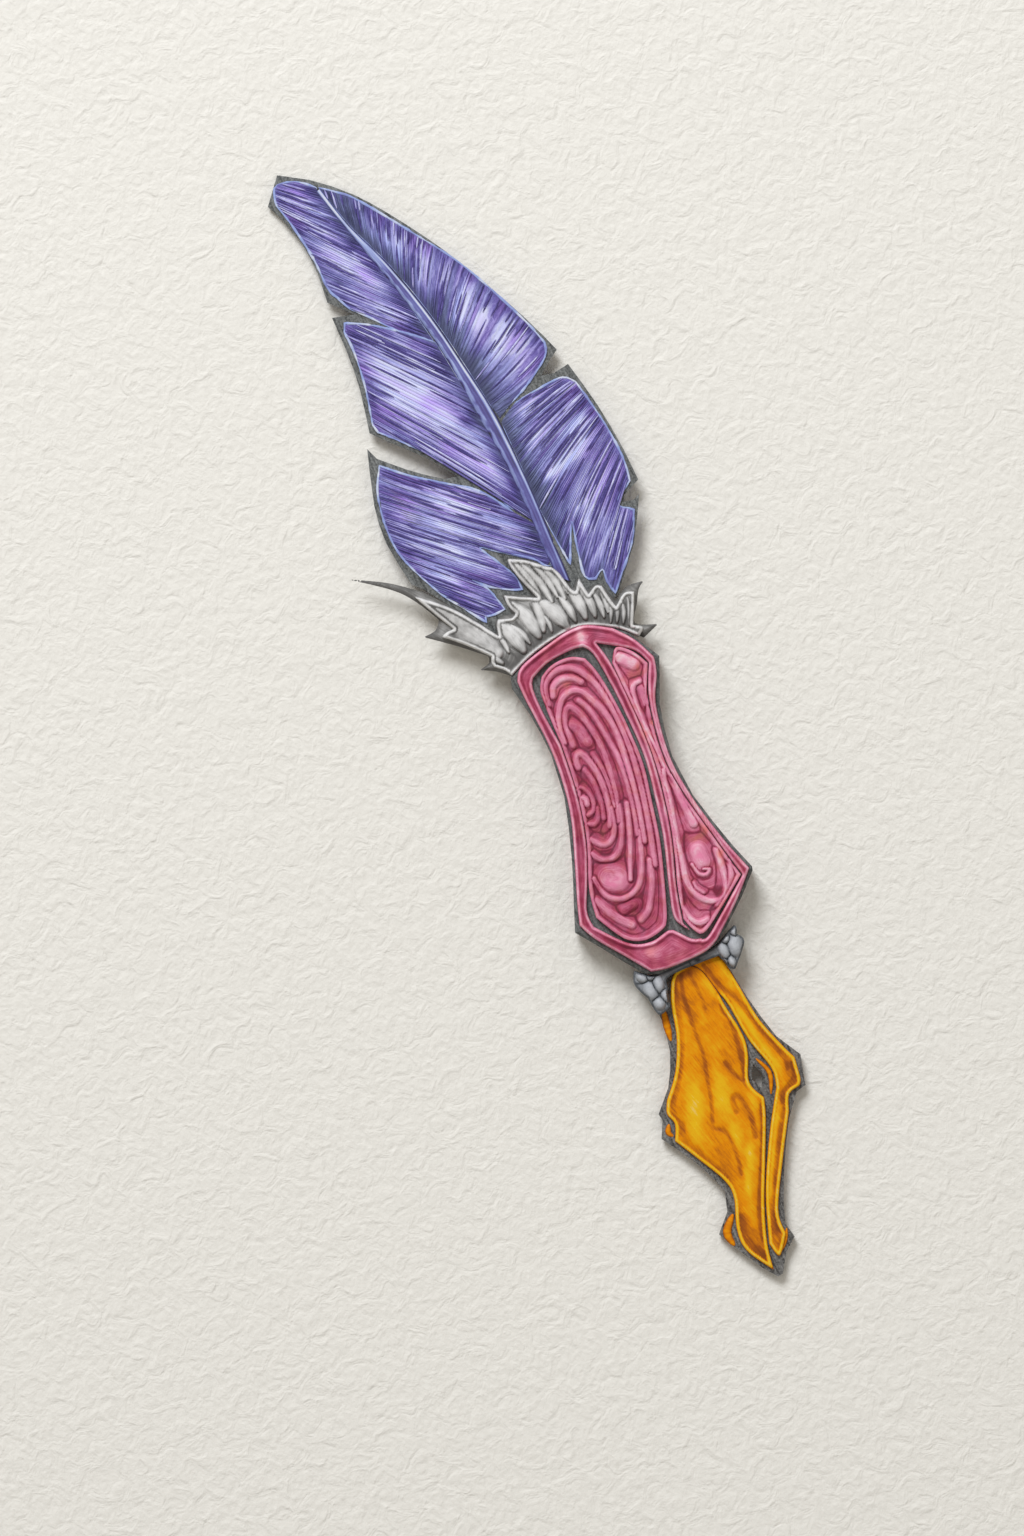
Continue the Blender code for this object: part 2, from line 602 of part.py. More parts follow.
def make_grip(parent):
    """The grip: a dark core, and on each side a frame with two carved panels in its windows."""
    core = triangles(outline(GRIP_EDGE, 5.0))
    mesh = body(core, lambda x, y: CORE_HIGH, lambda x, y: CORE_LOW, flat_top=True, flat_base=True)
    chamfer = add("grip_core", "grip_core", mesh, parent).modifiers.new("chamfer", "BEVEL")
    chamfer.width = CORE_CHAMFER * MM
    chamfer.segments = 1
    chamfer.limit_method = "ANGLE"
    chamfer.angle_limit = math.radians(60)
    windows = [outline(LEFT_WINDOW, 4.0), outline(RIGHT_WINDOW, 4.0)]
    rail = outline(FRAME_EDGE, 4.0)
    frame = triangles(rail, holes=windows)
    pieces = [("grip_frame", "grip_frame", frame, lambda x, y: GRIP_THICK)]
    for name, strokes, ridges in (
        ("left_panel", LEFT_PANEL, LEFT_RIDGES),
        ("right_panel", RIGHT_PANEL, RIGHT_RIDGES),
    ):
        plan, height = carved(outline(strokes, 4.0), ridges, GRIP_THICK - RIDGE_RISE, RIDGE_RISE)
        pieces.append((name, name, plan, height))
    for name, look, plan, height in pieces:
        front = body(plan, height, lambda x, y: GRIP_THICK - CARVING, flat_base=True)
        add(name + "_front", look, front, parent)
        back = body(plan, lambda x, y: CARVING, mirrored(height), flat_top=True)
        add(name + "_back", look, back, parent)


def ring(x, y, across, along, sides=PEBBLE_SIDES):
    turns = [2 * math.pi * i / sides for i in range(sides)]
    return [(x + across * math.cos(t), y + along * math.sin(t)) for t in turns]


def make_ferrule(parent):
    """The ferrule: a collar with pebble-like knobs on both faces."""
    lines = []
    for x, y, across, along in PEBBLES:
        for share in (1.0, 0.6):
            knob = ring(x, y, share * across, share * along)
            lines.append(knob + knob[:1])

    def half(x, y):
        rise = 0.0
        for px, py, across, along in PEBBLES:
            away = math.hypot((x - px) / across, (y - py) / along)
            rise = max(rise, FERRULE_RISE * math.sqrt(max(0.0, 1 - away**2)))
        return FERRULE_HALF + rise

    plan = triangles(outline(FERRULE_EDGE, 3.0), lines=lines)
    mesh = body(plan, lambda x, y: MID + half(x, y), lambda x, y: MID - half(x, y))
    return add("ferrule", "ferrule", mesh, parent)


def nib_middle(x, y):
    """Height of the middle of the nib's plate: it slopes down to the point and its sides bend down."""
    along = max(0.0, (NIB_TOP_Y - y) / NIB_LENGTH)
    axis_x = -1.0 - 9.0 * along**1.6
    return NIB_MID - NIB_DROP * along - NIB_ARCH * min(1.0, abs(x - axis_x) / 12.0) ** 2


def make_nib(parent):
    """The nib: a dark thorned plate with its vent, and on both faces an amber leaf each side of the slit."""
    vent = outline((VENT,), 1.5)
    folds = [smooth(points, 5.0) for points, _ in LEAF_RIDGES]
    plate = triangles(outline(NIB_EDGE, 4.0), holes=[vent], lines=folds)
    mesh = body(
        plate,
        lambda x, y: nib_middle(x, y) + NIB_HALF,
        lambda x, y: nib_middle(x, y) - NIB_HALF,
    )
    add("nib_plate", "nib_plate", mesh, parent)
    foot = NIB_HALF + GAP
    for name, strokes, ridges in (
        ("nib_left_leaf", LEFT_LEAF, LEAF_RIDGES),
        ("nib_right_leaf", RIGHT_LEAF, RIGHT_LEAF_RIDGES),
    ):
        plan, rise = carved(outline(strokes, 4.0), ridges, 0.0, LEAF_THICK, LEAF_FLAT)
        front = body(
            plan,
            lambda x, y: nib_middle(x, y) + foot + rise(x, y),
            lambda x, y: nib_middle(x, y) + foot,
        )
        add(name + "_front", "nib_leaf", front, parent)
        back = body(
            plan,
            lambda x, y: nib_middle(x, y) - foot,
            lambda x, y: nib_middle(x, y) - foot - rise(x, y),
        )
        add(name + "_back", "nib_leaf", back, parent)


def main():
    clear_scene()
    origin = make_plan_origin()
    make_feather(origin)
    make_ruff(origin)
    make_grip(origin)
    make_ferrule(origin)
    make_nib(origin)


main()
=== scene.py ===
"""Feather quill pen: the looks of every piece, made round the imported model.

Outlines are read in plan, in millimetres: Y runs along the quill to its feather tip and X to its right.
An outline is a list of strokes, each a smooth curve, and strokes meet in corners.
"""

import math

import bmesh
import bpy
import numpy as np
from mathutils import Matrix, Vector


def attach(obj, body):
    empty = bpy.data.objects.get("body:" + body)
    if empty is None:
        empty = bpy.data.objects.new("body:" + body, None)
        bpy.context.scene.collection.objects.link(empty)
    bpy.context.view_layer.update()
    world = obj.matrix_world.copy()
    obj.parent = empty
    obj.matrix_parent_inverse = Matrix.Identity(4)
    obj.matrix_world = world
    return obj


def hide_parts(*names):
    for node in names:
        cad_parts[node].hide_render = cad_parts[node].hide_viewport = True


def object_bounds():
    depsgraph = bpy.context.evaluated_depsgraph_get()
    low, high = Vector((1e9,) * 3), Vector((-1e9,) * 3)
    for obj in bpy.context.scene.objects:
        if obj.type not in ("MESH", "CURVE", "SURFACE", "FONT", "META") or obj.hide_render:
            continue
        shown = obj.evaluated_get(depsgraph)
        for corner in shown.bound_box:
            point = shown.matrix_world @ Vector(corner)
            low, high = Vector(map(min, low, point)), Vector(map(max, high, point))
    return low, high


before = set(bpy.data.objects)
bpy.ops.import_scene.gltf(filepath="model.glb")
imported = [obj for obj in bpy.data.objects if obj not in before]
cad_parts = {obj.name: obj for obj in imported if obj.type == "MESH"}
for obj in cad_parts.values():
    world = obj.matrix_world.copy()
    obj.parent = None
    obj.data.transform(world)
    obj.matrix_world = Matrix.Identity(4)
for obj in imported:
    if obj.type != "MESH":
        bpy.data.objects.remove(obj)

bl_info = {
    "name": "Feather Quill Pen",
    "version": (1, 0, 0),
    "blender": (4, 5, 0),
    "location": "3D View > Sidebar > Quill",
    "description": "Builds a feather quill pen with a down ruff, a carved grip and an amber nib",
    "category": "Object",
}

CAD_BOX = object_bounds()
MM = 0.001
SHIFT_X = 0.2
SHIFT_Y = -0.7

# The steps of curves and the cells of plates, in millimetres.
STEP = 0.6
WIDE_STEP = 1.0
CELL = 0.2
FINE_CELL = 0.16
WIDE_CELL = 0.3

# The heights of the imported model, in millimetres, and the depth and the foot of the carving.
GRIP_TOP = CAD_BOX[1].z / MM
MIDDLE = GRIP_TOP / 2
CARVING = 0.8
FOOT = 0.1

# How the feather's sheet droops and arches, and how far its barbs and rims stand over it.
DROOP = 2.7
DROOP_FROM = 26.0
DROOP_RUN = 78.0
ARCH = 1.1
ARCH_REACH = 19.0
VANE_HALF = 0.4
BARB_LIFT = 0.12
RIM_LIFT = 0.1

# The half thickness of the ruff and of the ferrule.
RUFF_HALF = 1.7
RUFF_SWELL = 1.1
RUFF_REACH = 9.0
RUFF_THIN = 0.3
FERRULE_HALF = 1.8
PEBBLE_RISE = 0.85

# The slope and the bend of the nib's plate, and the heights of what lies on it.
NIB_ROOT = -47.5
NIB_LENGTH = 54.6
NIB_HALF = 12.0
NIB_HEIGHT = 3.4
NIB_SLOPE = 2.2
NIB_BEND = 0.9
LEAF_TOP = 0.85
LEAF_FOOT = 0.75
SLIVER_LIFT = 0.62
SLIVER_RISE = 0.3

# Where along Y the shaft's colours turn to those of its tip and of its root, and its edges, from the tip.
SHAFT_TIP = 80.0
SHAFT_ROOT = 44.0
SHAFT_LEFT = (
    (-2.9, 98.3), (-1.65, 92.8), (0.7, 83.6), (3.1, 73.6),
    (4.9, 64.0), (5.9, 51.1), (6.7, 40.0), (6.4, 27.5), (6.3, 21.5),
)
SHAFT_RIGHT = (
    (-2.6, 98.4), (-0.8, 91.0), (2.8, 81.0), (5.4, 70.7),
    (7.0, 60.8), (8.3, 51.1), (8.5, 38.0), (8.1, 27.5), (7.9, 20.0),
)

# Each lobe of a vane: its tone, its rim, the lines of its barbs (x, y, angle at the root, angle at the end),
# how far they reach, and its painted soft highlights and shades (x, y, half length, half width, angle,
# amount).
LOBES = {
    "upper_left": {
        "tone": 0.56,
        "rim": (
            ((-8.6, 102.2), (-5.7, 101.4), (-2.9, 99.0)),
            ((-2.7, 98.3), (-1.4, 92.8), (0.7, 84.0), (2.8, 75.0)),
            ((4.2, 66.8), (1.0, 69.5), (-1.65, 72.2), (-4.0, 75.1), (-6.35, 77.8)),
            ((-7.5, 80.4), (-8.3, 82.5), (-8.4, 88.4), (-9.3, 94.8), (-10.2, 99.0)),
            ((-9.9, 100.6), (-9.4, 101.8)),
        ),
        "barb_lines": (
            (-6.6, 103.0, 158, 150), (-2.9, 98.6, 142, 140), (-1.65, 92.8, 136, 132), (0.7, 83.6, 130, 127),
            (3.1, 73.6, 131, 131), (4.3, 66.2, 134, 135), (4.8, 62.0, 135, 136),
        ),
        "reach": 19.0,
        "barbs": 64,
        "lights": (
            (-7.4, 99.6, 2.4, 0.9, 138, 0.39), (-4.9, 95.2, 2.4, 0.8, 136, 0.25),
            (-4.4, 91.0, 3.2, 1.0, 133, 0.23), (-5.4, 88.2, 3.0, 1.0, 130, 0.18),
            (-3.2, 84.6, 4.2, 1.6, 128, 0.34), (-0.9, 79.4, 3.0, 1.2, 130, 0.23),
            (-0.6, 74.0, 3.4, 1.0, 133, 0.34), (-8.6, 93.4, 1.2, 3.4, 132, -0.16),
            (-0.7, 87.0, 1.0, 4.0, 130, -0.2), (2.9, 70.6, 2.0, 1.0, 133, -0.24),
            (-7.4, 83.2, 1.0, 2.4, 130, -0.14),
        ),
    },
    "middle_left": {
        "tone": 0.57,
        "rim": (
            ((-8.2, 75.9), (-5.2, 74.3), (-2.8, 72.6), (1.2, 69.4)),
            ((4.4, 66.4), (5.6, 56.0), (6.5, 44.0), (6.8, 38.0)),
            ((6.9, 31.5), (4.2, 35.4), (3.0, 38.4), (1.2, 42.1), (-3.3, 48.2), (-8.4, 54.0)),
            ((-10.9, 56.7),),
            ((-11.2, 58.2), (-9.6, 64.8), (-8.85, 70.7)),
            ((-8.9, 74.6),),
        ),
        "barb_lines": (
            (-2.0, 76.6, 136, 137), (1.4, 71.4, 135, 136), (4.4, 66.4, 133, 134), (5.5, 58.0, 129, 131),
            (6.1, 50.0, 128, 130), (6.7, 42.0, 126, 127), (6.9, 34.0, 122, 126), (7.0, 28.0, 120, 126),
        ),
        "reach": 33.0,
        "barbs": 66,
        "lights": (
            (-5.6, 66.6, 3.4, 1.7, 130, 0.34), (-2.6, 61.8, 5.4, 2.5, 130, 0.48),
            (0.6, 62.6, 2.4, 0.8, 130, 0.12), (-5.4, 59.6, 3.6, 1.2, 128, 0.28),
            (-0.4, 54.6, 5.0, 1.8, 128, 0.46), (2.3, 50.2, 3.4, 1.2, 127, 0.32),
            (0.9, 47.6, 4.6, 1.4, 126, 0.34), (3.3, 43.6, 3.6, 1.2, 125, 0.3),
            (-2.0, 69.6, 2.8, 0.8, 133, 0.12), (4.9, 52.0, 1.5, 5.5, 128, -0.26),
            (5.6, 37.0, 1.6, 4.2, 125, -0.22), (3.4, 63.6, 1.6, 1.4, 131, -0.22),
            (-9.4, 61.8, 1.2, 3.2, 128, -0.2), (-7.4, 72.6, 1.8, 1.6, 133, -0.2),
        ),
    },
    "lower_left": {
        "tone": 0.595,
        "rim": (
            ((-13.1, 51.4), (-15.4, 47.2), (-16.5, 41.4), (-16.2, 35.6), (-13.3, 28.2), (-10.1, 23.0)),
            ((-7.9, 19.6),),
            ((-7.6, 20.5), (-6.0, 20.2)),
            ((-4.1, 20.3), (-5.2, 24.5), (-7.0, 27.3)),
            ((-5.0, 25.0), (-3.5, 23.9), (-1.5, 22.7)),
            ((0.0, 22.1), (-0.1, 24.5), (-1.3, 27.1), (-3.6, 31.5)),
            ((-3.0, 31.4), (0.4, 28.6), (3.9, 26.0), (5.2, 24.2)),
            ((6.2, 23.6), (6.6, 28.0)),
            ((6.9, 31.0), (3.9, 35.1), (1.9, 38.4), (-0.6, 41.3), (-4.6, 44.2), (-9.4, 47.9)),
        ),
        "barb_lines": (
            (6.9, 34.6, 137, 136), (6.9, 31.0, 138, 135), (6.3, 24.5, 140, 136), (2.0, 24.0, 139, 134),
            (-1.2, 20.5, 137, 133), (-4.5, 18.8, 135, 131), (-7.6, 18.6, 133, 130), (-9.6, 18.8, 130, 128),
        ),
        "reach": 30.0,
        "barbs": 74,
        "lights": (
            (-4.5, 40.5, 3.6, 1.4, 135, 0.6), (-11.0, 36.2, 2.6, 1.1, 133, 0.28),
            (-8.4, 32.6, 3.2, 1.0, 135, 0.6), (-10.4, 29.4, 1.9, 1.0, 133, 0.56),
            (-8.2, 23.8, 2.0, 1.0, 133, 0.33), (-0.8, 29.0, 3.2, 1.1, 137, 0.3),
            (-6.8, 37.0, 3.6, 1.2, 134, 0.28), (1.2, 33.0, 3.0, 1.1, 138, 0.2),
            (-10.2, 42.6, 2.6, 0.8, 135, 0.12), (-13.6, 45.4, 2.2, 3.2, 134, -0.2),
            (-15.0, 36.0, 1.0, 4.6, 133, -0.16), (4.8, 29.0, 1.8, 3.6, 138, -0.24),
            (-0.9, 24.0, 1.6, 1.8, 137, -0.2), (-5.8, 22.2, 1.4, 1.6, 134, -0.18),
        ),
    },
    "upper_right": {
        "tone": 0.54,
        "rim": (
            ((-2.5, 98.8), (0.0, 96.7), (2.5, 94.2), (8.3, 85.7), (14.2, 76.3), (19.5, 64.0)),
            ((21.2, 58.6), (20.2, 56.3), (15.5, 53.3), (12.0, 51.7)),
            ((8.7, 50.0), (7.3, 60.8), (5.7, 70.7), (3.1, 81.0), (-0.5, 91.0)),
        ),
        "barb_lines": (
            (-2.7, 99.6, 92, 78), (-0.8, 91.0, 84, 70), (2.8, 81.0, 74, 58), (5.4, 70.7, 64, 46),
            (7.0, 62.4, 44, 40), (7.9, 55.6, 19, 31), (8.9, 50.0, 6, 29), (9.6, 45.0, 4, 28),
        ),
        "reach": 17.0,
        "barbs": 98,
        "lights": (
            (2.8, 88.4, 1.6, 0.7, 74, 0.28), (4.4, 86.0, 1.7, 0.9, 68, 0.48),
            (5.7, 83.4, 2.2, 1.0, 64, 0.46), (8.2, 79.4, 3.0, 1.2, 60, 0.34),
            (10.6, 76.0, 2.6, 0.9, 56, 0.28), (11.6, 70.4, 2.9, 1.3, 50, 0.57),
            (13.1, 66.6, 2.6, 1.2, 45, 0.57), (14.4, 62.2, 3.8, 1.2, 36, 0.48),
            (17.2, 59.4, 2.8, 1.0, 28, 0.39), (9.9, 64.4, 2.0, 1.0, 42, 0.18),
            (13.6, 56.6, 3.4, 1.0, 24, 0.18), (8.6, 58.0, 1.8, 4.0, 40, -0.14),
            (9.6, 83.6, 0.9, 4.0, 62, -0.2), (19.4, 62.8, 1.0, 3.6, 38, -0.2),
            (2.2, 92.6, 0.8, 3.4, 75, -0.16),
        ),
    },
    "lower_right": {
        "tone": 0.585,
        "rim": (
            ((8.8, 49.4), (12.1, 51.2), (16.75, 51.8), (21.4, 51.9)),
            ((23.2, 50.2), (24.6, 42.0), (25.0, 35.4)),
            ((24.4, 31.1), (21.75, 29.5), (21.0, 28.0)),
            ((22.2, 27.0),),
            ((22.9, 26.3), (20.2, 21.4), (16.4, 17.3)),
            ((14.1, 14.8), (13.7, 17.2), (13.8, 19.4)),
            ((12.1, 18.5), (10.6, 19.6), (11.4, 24.2), (12.5, 29.0)),
            ((9.2, 22.5), (8.5, 33.0), (8.7, 42.0)),
        ),
        "barb_lines": (
            (8.6, 53.0, 14, -6), (8.7, 49.6, 14, 1), (8.6, 42.0, 26, 17), (8.5, 34.0, 36, 25),
            (8.6, 26.0, 46, 33), (10.0, 20.6, 50, 40), (13.6, 14.6, 54, 48), (16.0, 12.0, 56, 50),
        ),
        "reach": 22.0,
        "barbs": 96,
        "lights": (
            (17.6, 39.6, 3.6, 1.1, 22, 0.72), (13.6, 38.2, 2.2, 0.7, 26, 0.55),
            (18.2, 32.6, 4.0, 1.1, 28, 0.62), (14.2, 45.0, 3.0, 1.0, 18, 0.5),
            (20.4, 43.6, 2.6, 1.0, 14, 0.43), (15.2, 49.9, 3.2, 0.7, 8, 0.43),
            (21.2, 50.0, 1.8, 0.6, 2, 0.43), (14.6, 21.6, 2.4, 0.5, 46, 0.3),
            (19.0, 24.2, 2.8, 0.5, 46, 0.36), (15.4, 28.4, 3.0, 0.8, 36, 0.38),
            (21.4, 36.4, 2.6, 0.7, 20, 0.12), (10.6, 36.0, 2.0, 7.0, 30, -0.14),
            (23.2, 46.0, 1.0, 3.4, 12, -0.2), (16.0, 19.0, 1.6, 1.6, 48, -0.24),
            (12.0, 22.0, 1.2, 2.0, 45, -0.2), (16.4, 23.9, 5.2, 0.4, 35, 0.26),
            (18.4, 22.6, 5.0, 0.4, 50, 0.22),
        ),
    },
}

# Each side's edge of the shaft, and beside it how much painted shade darkens the barbs and how far, then how
# much cooler that painted shade turns them and how far.
BY_SHAFT = {"left": (SHAFT_LEFT, 0.2, 2.2, 0.4, 1.8), "right": (SHAFT_RIGHT, 0.29, 3.4, 1.0, 3.6)}
# The cells across each barb's roof, and along it.
FOLDS = 4
BARB_ROWS = 76
# The stray barbs for each barb, the rows of a whole one, the rows that one keeps, its half width and height,
# and the tones with their chances.
STRAY_SHARE = 0.9
STRAY_ROWS = 60
STRAY_LENGTH = (14, 34)
STRAY_HALF = (0.15, 0.07)
STRAY_TONES = ((0.2, 0.4), (0.3, 0.25), (0.64, 0.2), (0.8, 0.15))
# Where no rim shows, because two lobes still hang together: place and reach.
HIDDEN_RIMS = ((10.0, 50.6, 2.0), (5.4, 33.2, 2.0))

RUFF_DARK = (
    ((-7.9, 9.5), (-3.5, 11.2), (1.5, 12.2), (6.5, 12.2), (11.9, 9.4)),
    ((15.3, 5.9), (17.0, 6.5)),
    ((18.5, 7.0), (15.0, 8.8)),
    ((16.7, 11.7), (18.0, 13.8)),
    ((19.4, 14.7), (16.2, 15.0)),
    ((13.6, 13.6),),
    ((12.7, 17.3), (11.0, 17.7)),
    ((9.9, 17.2),),
    ((9.4, 20.1),),
    ((7.9, 18.6),),
    ((6.9, 22.6), (5.6, 23.9), (3.0, 26.3)),
    ((-0.2, 28.2), (0.1, 24.0)),
    ((1.1, 20.4), (-1.1, 21.7)),
    ((-3.7, 22.9),),
    ((-3.4, 19.0), (-5.0, 19.5)),
    ((-6.6, 19.1),),
    ((-7.3, 17.0), (-9.3, 20.6), (-12.2, 24.6)),
    ((-15.6, 28.9), (-19.8, 32.4), (-23.7, 34.8)),
    ((-26.2, 36.2), (-20.2, 31.4), (-17.4, 28.0)),
    ((-15.0, 23.4), (-16.3, 22.0)),
    ((-18.6, 21.8), (-14.3, 18.2)),
    ((-10.0, 14.2), (-10.4, 13.1)),
    ((-12.3, 12.7), (-9.9, 11.3)),
)
RUFF_LIGHT = (
    ((-7.8, 9.5), (-3.6, 11.1), (1.4, 12.1), (6.4, 12.1), (11.6, 9.4)),
    ((14.6, 6.4), (15.9, 7.6)),
    ((14.5, 8.6), (16.2, 11.8)),
    ((17.1, 13.7), (15.4, 14.2)),
    ((13.2, 12.7), (12.8, 14.6)),
    ((12.5, 16.9), (11.5, 17.4)),
    ((9.9, 16.6),),
    ((9.5, 19.7), (9.0, 19.2)),
    ((8.1, 18.0), (7.6, 18.6)),
    ((6.9, 21.8), (6.3, 23.1)),
    ((5.2, 24.0), (2.6, 26.3)),
    ((0.0, 27.8), (-0.3, 26.9), (0.4, 23.6)),
    ((1.7, 19.7), (-1.1, 21.2)),
    ((-3.3, 22.5), (-3.4, 20.6)),
    ((-2.8, 18.9), (-3.6, 18.4)),
    ((-5.9, 19.2), (-6.5, 18.4)),
    ((-7.0, 16.6), (-9.3, 20.2), (-12.6, 24.6)),
    ((-17.2, 28.9), (-16.4, 26.9)),
    ((-13.5, 20.9), (-14.8, 20.9)),
    ((-15.8, 20.5), (-12.6, 17.4)),
    ((-9.6, 13.9), (-10.0, 13.0)),
    ((-9.9, 12.1), (-8.5, 10.8)),
)
# Each lock of down: its root, its tip and its half width.
LOCKS = (
    ((-8.6, 14.2), (-16.6, 28.1), 2.3),
    ((-8.4, 12.2), (-14.9, 20.3), 0.8),
    ((-6.6, 13.4), (-7.1, 16.8), 0.4),
    ((-4.2, 12.6), (-6.0, 18.6), 1.15),
    ((-2.7, 13.2), (-4.3, 17.4), 0.45),
    ((-0.8, 13.7), (-2.5, 20.6), 1.1),
    ((0.3, 14.2), (0.9, 19.8), 0.75),
    ((1.5, 13.4), (1.5, 16.4), 0.35),
    ((4.2, 13.2), (1.9, 18.9), 1.25),
    ((1.9, 18.6), (0.4, 27.2), 0.75),
    ((3.7, 18.0), (1.6, 26.2), 0.6),
    ((4.9, 18.4), (3.1, 25.6), 0.5),
    ((5.9, 17.6), (4.6, 24.4), 0.55),
    ((6.8, 18.2), (6.0, 23.4), 0.45),
    ((5.9, 13.4), (5.1, 18.2), 0.65),
    ((7.7, 13.2), (7.1, 19.4), 0.85),
    ((9.3, 12.8), (9.0, 18.8), 0.7),
    ((10.6, 12.0), (10.6, 16.8), 0.5),
    ((11.6, 12.4), (12.0, 16.8), 0.5),
    ((11.2, 10.6), (12.6, 14.2), 0.35),
    ((12.2, 10.2), (13.4, 13.2), 0.35),
    ((13.1, 9.6), (14.5, 13.0), 0.35),
    ((13.9, 8.9), (15.6, 13.4), 0.35),
    ((14.6, 8.2), (16.5, 13.6), 0.3),
    ((14.3, 6.9), (15.3, 8.0), 0.5),
)

FRAME_EDGE = (
    ((-7.4, 8.2), (-7.45, 5.0), (-7.1, -4.0), (-7.7, -10.8), (-9.0, -16.9), (-11.7, -24.2), (-14.1, -30.3)),
    ((-15.3, -33.8), (-13.9, -36.9), (-10.2, -42.2)),
    ((-7.6, -46.0), (-4.4, -46.7), (1.9, -46.8)),
    ((4.8, -45.8), (10.5, -41.3)),
    ((14.9, -37.1), (12.9, -30.3), (11.2, -22.0), (10.7, -14.4), (12.2, -5.5), (14.6, -0.6)),
    ((15.4, 2.2), (13.7, 6.2)),
    ((11.1, 9.6), (7.4, 11.9), (4.4, 12.35), (0.7, 11.85), (-5.6, 10.25)),
)
LEFT_WINDOW = (
    ((-5.25, -4.6), (-5.65, 1.4), (-5.5, 6.0)),
    ((-4.7, 7.6), (-1.4, 8.9), (3.1, 9.2)),
    (
        (5.2, 8.8), (6.2, 7.2), (6.7, 2.9), (6.95, -4.0), (6.75, -12.5), (5.3, -20.2), (3.8, -26.5),
        (1.6, -33.0),
    ),
    ((0.1, -37.6), (-0.2, -39.6), (0.5, -41.2), (2.0, -43.3)),
    ((3.1, -44.6), (1.1, -43.9), (-0.7, -41.8), (-1.9, -40.9), (-5.4, -41.4), (-9.0, -40.0)),
    ((-13.2, -35.0), (-13.1, -32.0), (-10.5, -26.6), (-8.2, -21.0), (-6.3, -13.4)),
)
RIGHT_WINDOW = (
    ((7.5, 8.5), (8.4, 3.3), (8.4, -8.0), (7.6, -16.0), (5.4, -26.0), (2.4, -34.7)),
    ((0.8, -40.8), (1.9, -43.6), (3.2, -44.8), (6.8, -42.5)),
    ((13.4, -37.6), (11.9, -30.3), (10.1, -20.0), (9.9, -13.0), (11.6, -4.0)),
    ((14.2, 1.7), (12.7, 4.8)),
)
LEFT_PANEL = (
    ((-5.2, -5.6), (-5.0, -0.6), (-4.85, 2.4), (-4.5, 5.2)),
    ((-3.3, 7.2), (-1.2, 8.2), (1.2, 8.4), (3.0, 8.0)),
    (
        (4.7, 6.9), (5.6, 4.0), (6.15, -0.4), (6.4, -6.0), (6.1, -13.3), (4.65, -20.2), (3.15, -26.5),
        (0.95, -33.0),
    ),
    ((-0.7, -37.4), (-1.6, -39.3), (-2.8, -40.3), (-6.3, -40.7), (-9.4, -38.9)),
    ((-12.2, -33.8), (-11.2, -28.8), (-8.05, -21.0), (-6.2, -13.4)),
)
RIGHT_PANEL = (
    ((8.55, 4.3), (8.55, 0.4), (8.5, -8.0), (7.75, -16.0), (5.55, -26.0), (2.6, -34.7)),
    ((1.15, -40.2), (1.9, -42.6), (3.2, -43.8), (6.4, -42.1)),
    ((13.15, -37.5), (11.75, -30.3), (9.95, -20.0), (9.75, -13.0), (11.4, -4.0)),
    ((14.0, 1.7), (12.5, 4.6), (10.2, 6.4)),
)
